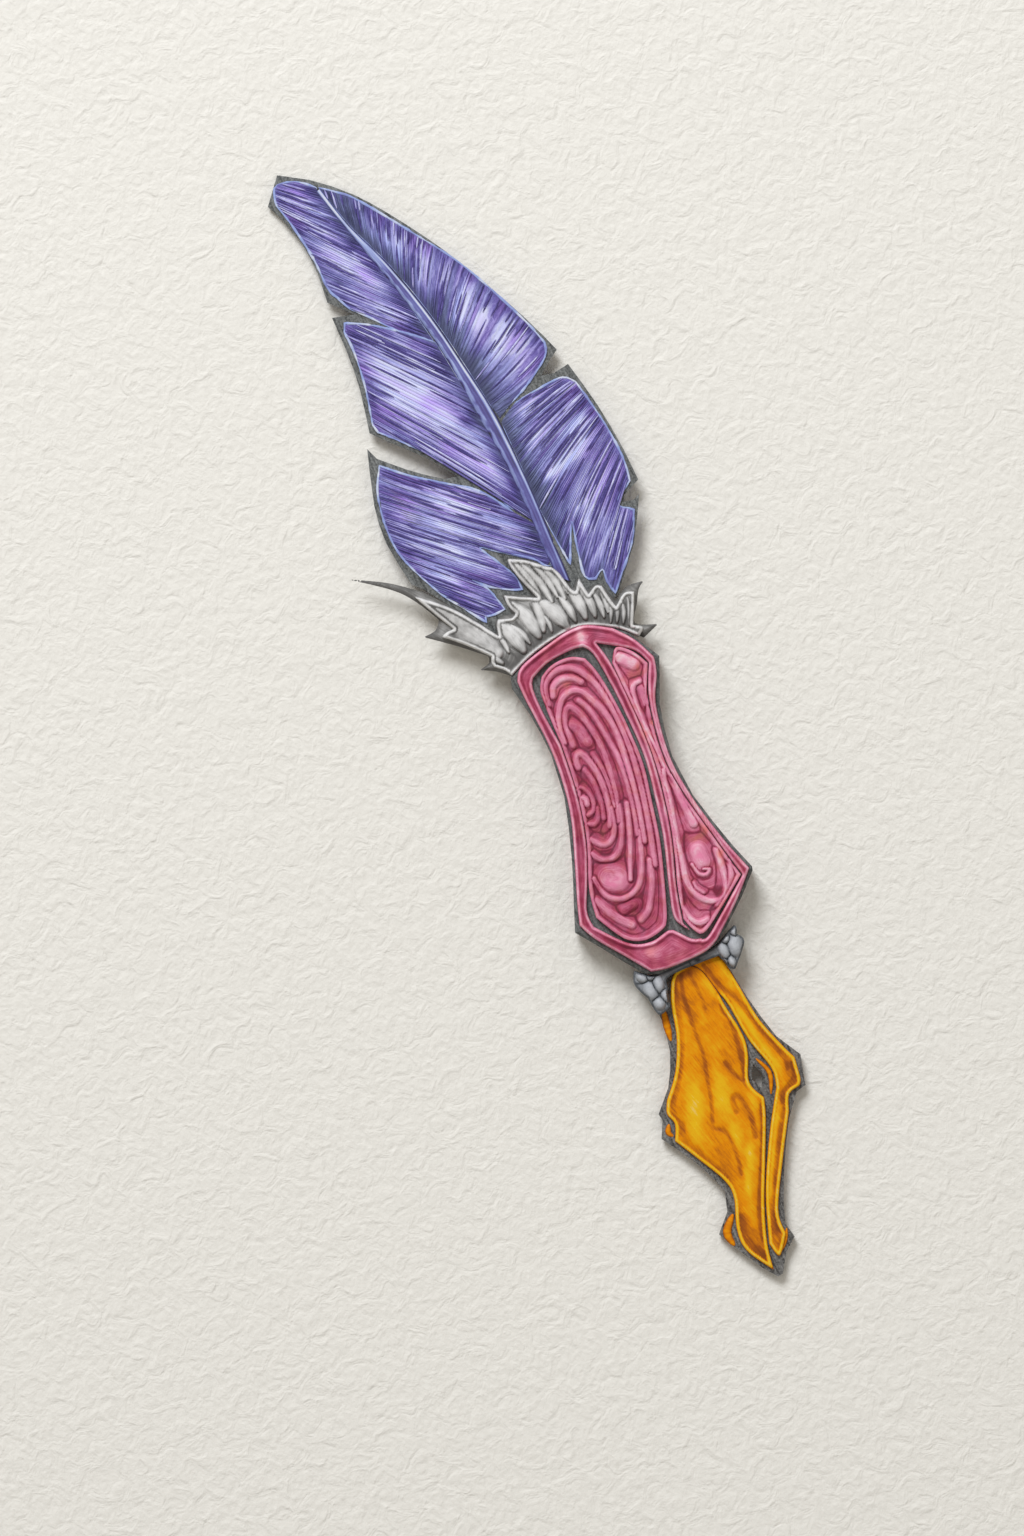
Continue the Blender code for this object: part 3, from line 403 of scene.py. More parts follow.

# Carved ridges: the points of each, its half width and how pale its painted crest highlight is.
LEFT_RIDGES = (
    ((
        (-4.6, -4.6), (-4.3, -2.1), (-3.4, 0.1), (-1.8, 2.3), (0.2, 2.9), (1.8, 2.1), (2.9, -0.2),
        (3.8, -2.7), (4.2, -5.4), (4.1, -8.8), (3.6, -12.4), (2.9, -16.6), (1.9, -21.0), (0.7, -25.4),
    ), 0.5, 0.86),
    ((
        (-4.3, 2.4), (-3.4, 5.6), (-0.9, 7.1), (1.9, 6.4), (3.6, 4.2), (4.7, 1.4), (5.3, -2.7), (5.35, -6.8),
        (5.0, -11.4), (4.2, -16.2), (3.2, -20.8), (1.9, -25.6), (0.6, -29.8),
    ), 0.5, 0.76),
    (((-3.0, 3.4), (-2.2, 4.9), (-0.4, 5.4), (1.4, 4.8), (2.4, 3.6)), 0.5, 0.84),
    ((
        (-3.4, -5.6), (-3.1, -2.2), (-2.4, -0.1), (-1.3, 0.7), (-0.4, -0.4), (0.3, -2.7), (0.75, -5.4),
        (0.9, -8.2), (0.6, -11.0), (0.1, -14.0), (-0.7, -17.4), (-1.7, -20.6),
    ), 0.5, 0.7),
    ((
        (0.7, 0.9), (1.6, -1.0), (2.15, -4.0), (2.5, -8.2), (2.7, -10.4), (2.5, -13.0), (2.0, -16.6),
        (1.2, -20.4), (0.2, -24.0),
    ), 0.42, 0.76),
    (((-2.2, -2.4), (-1.4, -3.4), (-0.9, -6.2)), 0.8, 0.6),
    ((
        (-4.2, -9.4), (-4.0, -8.0), (-3.2, -7.2), (-2.5, -7.9), (-2.0, -9.4), (-1.6, -12.0), (-1.8, -15.2),
        (-2.5, -18.6), (-3.4, -20.6),
    ), 0.5, 0.74),
    (((-1.0, -8.4), (-0.6, -11.0), (-0.7, -14.6), (-1.4, -18.0)), 0.4, 0.66),
    (((-3.4, -10.2), (-2.9, -12.6), (-3.1, -16.0), (-3.9, -19.0)), 0.4, 0.58),
    (((-5.9, -14.2), (-5.3, -14.8), (-5.5, -15.6)), 0.5, 0.85),
    (((-6.2, -12.9), (-5.3, -12.5), (-4.5, -13.6), (-4.3, -15.4), (-4.9, -17.1), (-6.2, -17.4)), 0.36, 0.68),
    (((-6.9, -18.6), (-5.8, -19.3), (-4.8, -18.6), (-4.2, -17.0)), 0.4, 0.6),
    (((-7.4, -21.3), (-6.2, -22.9), (-5.0, -23.2), (-3.7, -22.4), (-2.7, -20.4), (-2.0, -17.8)), 0.45, 0.74),
    ((
        (-8.3, -23.6), (-7.2, -25.2), (-5.4, -25.8), (-3.8, -25.1), (-2.5, -23.2), (-1.4, -20.6),
        (-0.6, -18.0),
    ), 0.45, 0.7),
    (((-4.2, -30.3), (-2.9, -27.4), (-1.4, -24.2), (-0.3, -21.4), (0.7, -18.4)), 0.42, 0.86),
    (((-7.4, -28.4), (-6.2, -29.2)), 1.9, 0.72),
    ((
        (-9.7, -27.6), (-9.3, -30.4), (-8.2, -32.0), (-6.1, -32.8), (-3.7, -32.1), (-2.1, -30.2),
        (-0.7, -27.2), (0.7, -23.4),
    ), 0.45, 0.8),
    (((-10.9, -31.2), (-9.9, -33.6), (-8.6, -35.7), (-7.2, -37.4)), 0.65, 0.78),
    (((-5.4, -37.3), (-3.7, -36.4), (-2.2, -34.3), (-0.9, -31.9), (0.2, -28.8)), 0.5, 0.8),
    (((-7.4, -34.6), (-5.6, -34.4)), 0.7, 0.5),
)
RIGHT_RIDGES = (
    (((9.6, 4.9), (10.6, 4.0), (11.8, 2.6)), 0.95, 0.86),
    ((
        (11.4, -0.5), (10.6, -0.5), (9.8, -1.2), (9.35, -3.0), (9.1, -6.0), (9.05, -9.6), (9.2, -13.4),
        (9.1, -15.6),
    ), 0.42, 0.88),
    (((11.3, -1.9), (11.0, -4.4)), 0.75, 0.66),
    (((10.6, -7.4), (10.5, -8.0)), 0.26, 0.9),
    (((10.4, -10.0), (10.3, -12.9)), 0.4, 0.8),
    ((
        (8.9, -15.8), (8.1, -17.2), (7.8, -20.0), (6.7, -24.0), (5.7, -28.0), (5.0, -31.5), (4.4, -34.3),
        (4.6, -36.8), (6.1, -39.0), (8.0, -39.8), (9.9, -38.5), (10.7, -35.6), (11.2, -32.0),
    ), 0.5, 0.88),
    (((9.7, -17.4), (9.5, -22.6), (9.6, -26.2)), 0.7, 0.84),
    (((8.2, -30.8), (8.1, -32.6)), 1.3, 0.84),
    (((6.4, -32.4), (6.8, -34.4), (7.9, -35.0), (8.7, -34.4), (7.8, -33.9)), 0.3, 0.78),
    (((5.3, -35.4), (5.4, -36.4), (6.1, -37.6)), 0.3, 0.76),
    (((3.8, -29.6), (2.6, -34.0), (1.9, -38.0), (2.3, -40.8), (3.5, -42.0), (4.8, -42.0)), 0.5, 0.84),
    (((12.4, -34.4), (11.9, -36.4), (10.0, -38.6), (7.4, -40.4)), 0.5, 0.74),
)

# Painted soft highlights and shades of the carving, and its tints: above 0 orange, below 0 mauve.
LEFT_LIGHTS = (
    (-0.6, 4.4, 2.0, 0.9, 0, 0.2), (-6.6, -29.6, 2.0, 1.2, 0, 0.22), (-5.4, -20.5, 1.5, 1.2, 60, -0.16),
    (-4.7, -11.4, 1.6, 0.8, 90, -0.24), (-6.2, -35.0, 1.8, 0.8, 0, -0.12), (3.0, -10.6, 2.2, 0.5, 97, 0.14),
    (-3.6, 4.2, 2.6, 0.6, 65, -0.14), (5.0, -1.0, 4.0, 0.6, 95, 0.1), (1.4, -6.0, 5.0, 0.6, 95, -0.12),
    (-3.2, -34.0, 1.8, 0.6, 55, -0.14), (-9.6, -29.0, 3.0, 0.6, 70, -0.16),
)
LEFT_TINTS = (
    (-0.4, 4.2, 1.8, 0.5, 0, 0.7), (-2.6, -4.2, 1.6, 0.5, 20, 0.6), (-5.3, -20.4, 1.6, 1.4, 60, 0.5),
    (-6.0, -35.2, 2.2, 0.9, 0, 0.5), (-5.6, -25.9, 2.2, 0.4, -8, 0.6), (3.7, -18.0, 5.0, 0.5, 105, 0.3),
    (-5.4, -13.2, 1.4, 0.8, 90, 0.3), (-6.8, -29.4, 1.8, 1.2, 0, -0.6), (2.8, -12.0, 3.0, 0.5, 95, -0.8),
    (-1.6, -4.6, 1.2, 0.8, 90, -0.4), (-9.0, -34.6, 2.0, 0.6, 125, -0.3),
)
RIGHT_LIGHTS = (
    (10.0, 4.4, 0.8, 0.6, 0, 0.12), (9.4, -26.2, 1.0, 0.7, 90, 0.22), (8.0, -30.4, 1.2, 0.7, 60, 0.2),
    (11.6, 0.6, 1.6, 0.5, -10, -0.1), (10.6, -6.6, 2.2, 0.8, 95, -0.2), (10.6, -10.8, 4.0, 0.6, 92, -0.16),
    (8.6, -21.0, 5.0, 0.4, 98, -0.2), (7.0, -28.4, 1.6, 0.7, 70, -0.22), (3.6, -37.6, 2.0, 0.9, 80, -0.2),
    (6.4, -41.0, 2.0, 0.6, 35, -0.16), (12.0, -35.6, 1.4, 0.8, 90, 0.06), (8.2, 0.8, 3.0, 0.3, 95, -0.14),
)
RIGHT_TINTS = (
    (11.5, 0.7, 1.7, 0.6, -12, 1.0), (12.3, 1.9, 1.0, 0.4, 60, 0.8), (10.5, -7.7, 0.6, 0.5, 0, 1.0),
    (8.4, -8.0, 6.0, 0.35, 90, 0.9), (10.4, -27.6, 1.4, 0.9, 90, 0.9), (9.4, -28.6, 1.6, 0.5, 0, 0.8),
    (11.5, -33.0, 2.2, 0.5, 85, 0.8), (8.4, -40.6, 2.0, 0.4, 20, 0.7), (4.0, -36.8, 1.6, 0.5, 95, 0.6),
    (10.9, -3.0, 1.8, 0.7, 92, -0.7), (9.6, -23.4, 3.6, 0.7, 92, -0.7), (8.2, -31.8, 1.6, 1.4, 0, -0.6),
    (6.6, -38.0, 2.0, 0.8, 0, -0.4),
)
# Painted soft highlights and shades of the frames.
FRAME_LIGHTS = (
    (5.5, 10.4, 1.7, 0.8, 80, 0.6), (-6.1, -42.8, 1.7, 1.1, -10, 0.34), (-10.0, -39.8, 1.8, 0.7, -40, -0.24),
    (7.6, -42.6, 3.0, 0.7, 40, -0.14), (5.6, -20.6, 5.4, 0.5, 105, 0.22), (-3.0, 10.2, 3.0, 0.5, 12, -0.14),
    (7.4, 3.0, 6.0, 0.5, 95, -0.1), (2.0, -44.2, 1.6, 0.8, 0, -0.1), (13.6, 3.6, 3.0, 0.5, 125, -0.06),
)
FRAME_TINTS = (
    (5.2, -21.4, 5.6, 0.7, 105, -0.95), (7.6, -9.0, 6.0, 0.3, 90, -0.6), (7.9, -9.0, 5.0, 0.25, 90, 0.6),
    (-6.2, -42.8, 1.4, 0.9, 0, 0.5), (9.2, 9.2, 2.6, 0.6, -40, -0.3),
)

PEBBLES = (
    (-9.1, -48.9, 0.9, 1.4, 0.15), (-7.35, -48.5, 0.75, 1.2, -0.3), (-8.6, -51.5, 0.8, 0.9, 0.2),
    (-7.1, -50.8, 0.6, 0.9, 0.0), (-9.5, -46.3, 0.6, 0.9, 0.5), (-7.9, -46.7, 0.75, 0.5, 0.3),
    (5.1, -48.0, 0.7, 1.2, 0.1), (7.2, -48.0, 1.0, 1.5, -0.35), (5.6, -50.2, 0.5, 0.8, 0.0),
    (8.0, -45.9, 0.5, 0.7, 0.2), (6.2, -46.4, 0.6, 0.5, 0.2), (4.4, -49.9, 0.4, 0.6, 0.0),
)
FERRULE_EDGE = (
    ((-10.2, -44.7), (-11.1, -46.9)),
    ((-10.0, -50.0), (-9.5, -53.2)),
    ((-7.2, -52.8), (-6.2, -49.6), (-4.9, -48.0)),
    ((4.0, -48.4), (4.8, -51.2)),
    ((5.6, -51.6), (8.9, -48.1)),
    ((8.3, -46.4), (8.6, -44.9)),
    ((5.1, -46.4), (2.0, -47.0), (-6.8, -46.9), (-8.9, -45.8)),
)

LEFT_LEAF = (
    ((-5.3, -49.2), (-6.9, -52.7), (-8.4, -58.0), (-11.1, -63.3)),
    ((-14.4, -67.1), (-15.4, -69.2), (-14.9, -71.3)),
    ((-16.1, -74.0), (-13.8, -78.4), (-11.3, -83.6), (-11.1, -87.0), (-12.9, -92.0), (-12.9, -96.0)),
    ((-10.1, -101.0), (-9.2, -96.4), (-6.85, -90.2), (-3.65, -83.6), (-0.45, -77.0)),
    ((0.8, -73.6), (-0.4, -70.2), (1.4, -65.8), (2.0, -62.4), (1.4, -56.8)),
    ((1.2, -54.0), (0.2, -49.6), (-1.4, -47.9), (-4.0, -47.9)),
)
RIGHT_LEAF = (
    ((-0.9, -47.85), (2.7, -47.9), (4.2, -49.2), (4.9, -54.2), (5.6, -60.9), (7.3, -66.7)),
    ((8.4, -69.6), (7.7, -73.6)),
    ((6.9, -74.4), (4.9, -74.9)),
    ((3.6, -77.6), (-0.7, -84.4), (-5.1, -92.0)),
    ((-5.6, -96.2), (-8.2, -99.2)),
    ((-8.95, -96.6), (-5.8, -88.4), (-1.1, -79.8)),
    ((3.4, -72.9), (4.0, -69.6), (2.55, -63.6), (1.95, -57.0)),
    ((1.35, -54.2), (0.35, -49.7)),
)
# Each fold of a leaf: its points, its half width and its depth, which also sets the darkness of its painted
# shade.
LEFT_FOLDS = (
    ((
        (-3.3, -48.9), (-4.25, -51.8), (-4.9, -56.5), (-5.5, -62.4), (-6.4, -65.9), (-7.7, -70.6),
        (-8.9, -73.6), (-9.0, -74.8), (-7.6, -76.2), (-7.4, -79.6), (-8.2, -83.8),
    ), 0.41, 0.29),
    ((
        (-5.0, -49.4), (-6.3, -54.4), (-7.8, -59.0), (-9.7, -62.6), (-11.8, -65.8), (-13.8, -68.3),
        (-14.3, -70.4), (-13.7, -72.0), (-14.5, -74.0), (-13.3, -77.1), (-12.1, -79.9), (-11.0, -83.4),
    ), 0.54, 0.22),
    (((-2.0, -49.0), (-1.7, -52.0), (-1.8, -55.6)), 0.35, 0.17),
    ((
        (1.2, -54.3), (0.7, -57.4), (1.2, -59.0), (0.4, -64.3), (-0.5, -68.4), (-1.1, -69.4), (-2.1, -67.7),
        (-2.7, -65.4),
    ), 0.49, 0.36),
    (((-4.5, -73.8), (-4.3, -71.8), (-3.4, -71.2), (-2.7, -72.7), (-2.5, -75.4), (-3.4, -79.0)), 0.57, 0.34),
    (((-0.1, -74.8), (-1.0, -77.2)), 0.68, 0.36),
    (((-1.2, -77.3), (-2.8, -80.6), (-4.7, -84.2), (-6.8, -88.0), (-8.7, -92.0), (-9.6, -95.6)), 0.43, 0.31),
    (((-11.4, -90.4), (-12.0, -93.6), (-11.3, -97.2), (-10.3, -99.2)), 0.81, 0.26),
)
RIGHT_FOLDS = (
    ((
        (0.9, -48.8), (2.0, -53.0), (3.6, -56.5), (4.7, -61.5), (5.9, -65.9), (6.8, -69.2), (6.5, -70.8),
    ), 0.46, 0.34),
    (((7.6, -70.6), (7.2, -72.6), (5.6, -73.6)), 0.68, 0.31),
    (((5.0, -73.6), (4.0, -74.2), (3.2, -75.8), (4.0, -75.6)), 0.41, 0.34),
    (((3.4, -76.4), (0.6, -80.4), (-2.6, -85.6), (-4.6, -89.6)), 0.54, 0.26),
    (((-4.6, -90.2), (-5.6, -92.6), (-6.0, -95.0)), 1.08, 0.29),
)
# The width of a leaf's yellow rim.
LEAF_RIM = 0.62
# Where the two leaves run into each other without a rim: place and reach.
LEAF_SEAM = (0.7, -50.4, 3.2)
# Painted soft highlights and shades of the leaves.
LEAF_LIGHTS = (
    (-10.4, -69.6, 3.0, 1.4, 70, 0.3), (-12.0, -73.6, 2.4, 1.0, 100, 0.2), (-5.4, -70.4, 3.0, 1.4, 80, 0.3),
    (-6.4, -77.6, 3.0, 1.0, 80, 0.28), (-5.6, -81.6, 3.4, 0.7, 65, 0.32), (-7.9, -85.6, 2.6, 0.5, 75, 0.3),
    (-1.2, -73.4, 2.0, 0.8, 70, 0.16), (0.4, -53.0, 1.8, 0.5, 95, 0.24), (-3.4, -60.4, 4.0, 1.2, 95, -0.06),
    (-4.9, -51.4, 2.8, 0.8, 100, -0.26), (-2.6, -48.9, 2.2, 0.8, 0, -0.26),
    (-8.4, -62.0, 4.0, 0.8, 65, 0.04), (-9.4, -81.4, 5.0, 2.0, 110, -0.14),
    (-1.6, -56.0, 7.0, 1.6, 95, -0.12), (-11.2, -92.4, 3.8, 1.2, 100, -0.24),
    (-10.9, -97.0, 2.4, 0.8, 110, -0.24), (-9.0, -88.0, 3.0, 0.8, 70, -0.04),
    (3.5, -60.4, 4.6, 0.6, 100, 0.32), (4.5, -67.6, 3.4, 0.7, 100, 0.32), (4.0, -52.4, 2.6, 0.4, 95, 0.2),
    (7.0, -71.4, 2.0, 1.2, 90, -0.24), (4.8, -74.9, 1.6, 0.7, 20, -0.24), (0.6, -78.6, 5.0, 0.4, 60, 0.3),
    (-4.0, -86.6, 5.0, 0.4, 60, 0.28), (-6.2, -94.4, 3.4, 0.9, 60, -0.26),
    (2.0, -50.0, 1.6, 0.8, 100, -0.12),
)
SLIVERS = (
    (((-8.4, -52.6), (-9.0, -55.4), (-9.5, -58.2)), 0.65),
    (((-15.8, -70.9), (-16.5, -72.2), (-15.9, -73.2)), 0.53),
    (((-12.4, -89.4), (-14.6, -91.8), (-14.4, -94.4)), 0.75),
    (((2.3, -67.0), (3.4, -70.2), (2.1, -73.6)), 0.43),
    (((-5.1, -95.4), (-6.2, -97.2), (-7.6, -98.6)), 0.38),
)


# Sizes and colours that a user would change


class QuillFeather(bpy.types.PropertyGroup):
    barb_share: bpy.props.FloatProperty(
        name="Barbs", description="Share of the full number of barbs", default=1.0, min=0.2, max=2.0
    )
    barb_rise: bpy.props.FloatProperty(
        name="Barb rise", description="Height of a barb over the sheet", default=0.16 * MM, unit="LENGTH"
    )
    rim_radius: bpy.props.FloatProperty(
        name="Rim radius", description="Half width of the pale rim of a lobe",
        default=0.26 * MM, unit="LENGTH",
    )
    # Deep violet colours the painted shade: in the valleys between barbs, by the shaft and along the rims.
    deep: bpy.props.FloatVectorProperty(
        name="Deep violet", description="Colour between the barbs",
        default=(0.066, 0.051, 0.21), subtype="COLOR",
    )
    violet: bpy.props.FloatVectorProperty(
        name="Violet", description="Main colour of the vanes", default=(0.15, 0.125, 0.4), subtype="COLOR"
    )
    lavender: bpy.props.FloatVectorProperty(
        name="Lavender", description="Lit colour of the vanes", default=(0.39, 0.37, 0.7), subtype="COLOR"
    )
    pale: bpy.props.FloatVectorProperty(
        name="Pale", description="Highlights of the vanes", default=(0.66, 0.68, 0.89), subtype="COLOR"
    )
    purple: bpy.props.FloatVectorProperty(
        name="Purple", description="Warm tint of some barbs", default=(0.25, 0.13, 0.5), subtype="COLOR"
    )
    # Steel colours the cooler painted shade by the shaft, and cool tints elsewhere.
    steel: bpy.props.FloatVectorProperty(
        name="Steel", description="Cool tint of some barbs", default=(0.12, 0.135, 0.27), subtype="COLOR"
    )
    rim: bpy.props.FloatVectorProperty(
        name="Rim", description="Colour of the rims", default=(0.31, 0.39, 0.7), subtype="COLOR"
    )


class QuillRuff(bpy.types.PropertyGroup):
    lock_rise: bpy.props.FloatProperty(
        name="Lock rise", description="Height of a lock over the ruff", default=0.7 * MM, unit="LENGTH"
    )
    white: bpy.props.FloatVectorProperty(
        name="White", description="Colour of the lit down", default=(0.76, 0.75, 0.74), subtype="COLOR"
    )
    shade: bpy.props.FloatVectorProperty(
        name="Shade", description="Colour between the locks", default=(0.155, 0.15, 0.143), subtype="COLOR"
    )


class QuillGrip(bpy.types.PropertyGroup):
    # The crest's pale pink is the painted highlight of the carving.
    crest: bpy.props.FloatVectorProperty(
        name="Crest", description="Pale pink of the carved crests",
        default=(0.78, 0.32, 0.44), subtype="COLOR",
    )
    rose: bpy.props.FloatVectorProperty(
        name="Rose", description="Main colour of the grip", default=(0.5, 0.086, 0.165), subtype="COLOR"
    )
    # Crimson is the painted shade down in the carving.
    crimson: bpy.props.FloatVectorProperty(
        name="Crimson", description="Colour down in the carving", default=(0.27, 0.022, 0.06), subtype="COLOR"
    )
    orange: bpy.props.FloatVectorProperty(
        name="Orange", description="Warm tint down in the carving",
        default=(0.45, 0.115, 0.115), subtype="COLOR",
    )
    mauve: bpy.props.FloatVectorProperty(
        name="Mauve", description="Cool tint of some crests", default=(0.56, 0.155, 0.27), subtype="COLOR"
    )
    core: bpy.props.FloatVectorProperty(
        name="Core", description="Grey of the core in the grooves",
        default=(0.078, 0.084, 0.082), subtype="COLOR",
    )


class QuillNib(bpy.types.PropertyGroup):
    yellow: bpy.props.FloatVectorProperty(
        name="Yellow", description="Rims of the leaves", default=(0.83, 0.49, 0.01), subtype="COLOR"
    )
    amber: bpy.props.FloatVectorProperty(
        name="Amber", description="Main colour of the leaves", default=(0.78, 0.255, 0.0), subtype="COLOR"
    )
    # Brown colours the painted shade along the folds.
    brown: bpy.props.FloatVectorProperty(
        name="Brown", description="Folds of the leaves", default=(0.4, 0.105, 0.008), subtype="COLOR"
    )


SETTINGS = {
    "quill_feather": QuillFeather,
    "quill_ruff": QuillRuff,
    "quill_grip": QuillGrip,
    "quill_nib": QuillNib,
}


# Curves and distances in plan


def smooth(points, step):
    """A Catmull-Rom curve through the points, with a point about every step millimetres."""
    ends = (points[0],) + tuple(points) + (points[-1],)
    curve = []
    for p0, p1, p2, p3 in zip(ends, ends[1:], ends[2:], ends[3:]):
        pieces = max(1, round(math.dist(p1, p2) / step))
        for i in range(pieces):
            t = i / pieces
            weights = (
                -0.5 * t * (1 - t) ** 2,
                1 - 2.5 * t**2 + 1.5 * t**3,
                0.5 * t + 2 * t**2 - 1.5 * t**3,
                -0.5 * t**2 * (1 - t),
            )
            curve.append(weights @ np.array((p0, p1, p2, p3)))
    return np.array(curve + [points[-1]])


def outline(strokes, step=0.8):
    """The closed outline of the strokes: each one runs on to the first point of the next."""
    return np.vstack([
        smooth(stroke + (following[0],), step)[:-1]
        for stroke, following in zip(strokes, strokes[1:] + strokes[:1])
    ])


def closed(loop):
    return np.vstack([loop, loop[:1]])


def inside(points, loop):
    """Which of the points are inside the loop."""
    x, y = points.T
    odd = np.zeros(len(points), bool)
    for (x0, y0), (x1, y1) in zip(loop, np.roll(loop, -1, 0)):
        if y0 != y1:
            crosses = (y0 > y) != (y1 > y)
            odd ^= crosses & (x < x0 + (y - y0) * (x1 - x0) / (y1 - y0))
    return odd


def near(points, line):
    """For each point: its distance to the line, the length along the line, and the nearest place."""
    best = np.full(len(points), np.inf)
    along = np.zeros(len(points))
    place = np.zeros_like(points)
    run = 0.0
    for start, end in zip(line, line[1:]):
        way = end - start
        length = float(np.hypot(*way))
        if length == 0:
            continue
        t = np.clip((points - start) @ way / length**2, 0, 1)
        spot = start + t[:, None] * way
        away = np.hypot(*(points - spot).T)
        closer = away < best
        best = np.where(closer, away, best)
        along = np.where(closer, run + t * length, along)
        place = np.where(closer[:, None], spot, place)
        run += length
    return best, along, place


def turned(points, turn):
    """The two plan coordinates of the points along and across a direction, at this turn from X."""
    along = points @ np.array([math.cos(turn), math.sin(turn)])
    across = points @ np.array([-math.sin(turn), math.cos(turn)])
    return along, across


def soft(away, reach):
    """A soft spot or band: 1 at its middle, fading out over the reach."""
    return np.exp(-((away / reach) ** 2))


def round_top(share):
    """A round profile: 1 at its middle and 0 from a share of 1 on."""
    return np.sqrt(np.clip(1 - share**2, 0, 1))


def waves(points, sizes, seed):
    """Smooth random swells from -1 to 1 over the plan, the sum of a few sine waves of these sizes."""
    rng = np.random.default_rng(seed)
    total = np.zeros(len(points))
    for size in sizes:
        turn, phase_a, phase_b = rng.uniform(0, 2 * math.pi, 3)
        u, v = turned(points, turn)
        total += np.sin(2 * math.pi * u / size + phase_a + 1.3 * np.sin(2 * math.pi * v / size + phase_b))
    return total / len(sizes)


# Meshes


def build(name, points, faces, fields, material, slot, replaces=(), sharp=40):
    """One piece from plan points in millimetres, with a field of numbers at each point."""
    mesh = bpy.data.meshes.new(name)
    places = np.asarray(points, float) + (SHIFT_X, SHIFT_Y, 0.0)
    mesh.from_pydata((places * MM).tolist(), [], faces)
    mesh.update()
    for field, values in fields.items():
        values = np.asarray(values, np.float32)
        if values.ndim == 2:
            mesh.attributes.new(field, "FLOAT_VECTOR", "POINT").data.foreach_set("vector", values.ravel())
        else:
            mesh.attributes.new(field, "FLOAT", "POINT").data.foreach_set("value", values)
    mesh.shade_smooth()
    mesh.set_sharp_from_angle(angle=math.radians(sharp))
    mesh.materials.append(material)
    piece = bpy.data.objects.new(name, mesh)
    bpy.context.scene.collection.objects.link(piece)
    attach(piece, "root")
    if replaces:
        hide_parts(*replaces)
    return piece


def lattice(loop, holes, cell):
    """Square cells that fill the loop but not the holes, with their rim pulled onto the outlines."""
    low = loop.min(0) - cell
    count = np.ceil((loop.max(0) + cell - low) / cell).astype(int)
    ix, iy = np.meshgrid(np.arange(count[0]), np.arange(count[1]), indexing="ij")
    centres = low + cell * (np.stack([ix.ravel(), iy.ravel()], 1) + 0.5)
    kept = inside(centres, loop)
    for hole in holes:
        kept &= ~inside(centres, hole)
    cells = np.zeros(count + 2, bool)
    cells[1:-1, 1:-1] = kept.reshape(count)
    corners = np.stack(np.meshgrid(*[np.arange(n + 1) for n in count], indexing="ij"), -1).reshape(-1, 2)
    around = np.stack([cells[corners[:, 0] + i, corners[:, 1] + j] for i in (0, 1) for j in (0, 1)], 1)
    used = around.any(1)
    rim = used & ~around.all(1)
    plan = low + cell * corners
    edges = [closed(loop)] + [closed(hole) for hole in holes]
    found = [near(plan[rim], edge) for edge in edges]
    nearest = np.argmin([f[0] for f in found], 0)
    plan[rim] = np.array([f[2] for f in found])[nearest, np.arange(rim.sum())]
    index = np.cumsum(used) - 1
    ids = index.reshape(count + 1)
    cx, cy = np.nonzero(kept.reshape(count))
    quads = np.stack([ids[cx, cy], ids[cx + 1, cy], ids[cx + 1, cy + 1], ids[cx, cy + 1]], 1)
    return plan[used], quads


def open_edges(quads):
    """The edges that only one quad has, each in that quad's direction."""
    pairs = np.concatenate([quads[:, [i, (i + 1) % 4]] for i in range(4)])
    known = set(map(tuple, pairs.tolist()))
    return [(a, b) for a, b in known if (b, a) not in known]


def plate(name, plan, quads, top, base, fields, material, slot, **more):
    """A closed plate over the cells, from the heights base up to top; with base above top it faces down."""
    count = len(plan)
    points = np.vstack([np.column_stack([plan, top]), np.column_stack([plan, base])])
    upper = quads.tolist()
    lower = (quads[:, ::-1] + count).tolist()
    walls = [(b, a, a + count, b + count) for a, b in open_edges(quads)]
    faces = upper + lower + walls
    if np.mean(top) < np.mean(base):
        faces = [face[::-1] for face in faces]
    doubled = {field: np.concatenate([values, values]) for field, values in fields.items()}
    return build(name, points, faces, doubled, material, slot, **more)


def sweep(line, across, up, sides, loop=False):
    """A tube of oval section round the line of 3-D points: half width across and half height up."""
    line = np.asarray(line, float)
    count = len(line)
    way = np.roll(line, -1, 0) - np.roll(line, 1, 0) if loop else np.gradient(line, axis=0)
    side = np.column_stack([way[:, 1], -way[:, 0]])
    side /= np.maximum(np.hypot(*side.T), 1e-9)[:, None]
    across = np.broadcast_to(across, count)
    up = np.broadcast_to(up, count)
    points = []
    for turn in np.arange(sides) * 2 * math.pi / sides:
        out = side * (across * math.cos(turn))[:, None]
        points.append(np.column_stack([line[:, :2] + out, line[:, 2] + up * math.sin(turn)]))
    points = np.stack(points, 1).reshape(-1, 3)
    faces = []
    for i in range(count if loop else count - 1):
        for k in range(sides):
            a, b = i * sides + k, i * sides + (k + 1) % sides
            c, d = ((i + 1) % count) * sides + (k + 1) % sides, ((i + 1) % count) * sides + k
            faces.append((a, d, c, b))
    if not loop:
        faces.append(tuple(range(sides)))
        faces.append(tuple(range(count * sides - 1, (count - 1) * sides - 1, -1)))
    return points, faces


def joined(parts):
    """Several (points, faces, fields) as one."""
    points, faces, fields = [], [], {}
    start = 0
    for some_points, some_faces, some_fields in parts:
        points.append(some_points)
        faces += [tuple(i + start for i in face) for face in some_faces]
        for field, values in some_fields.items():
            fields.setdefault(field, []).append(np.asarray(values, float))
        start += len(some_points)
    return np.vstack(points), faces, {field: np.concatenate(values) for field, values in fields.items()}


# Materials


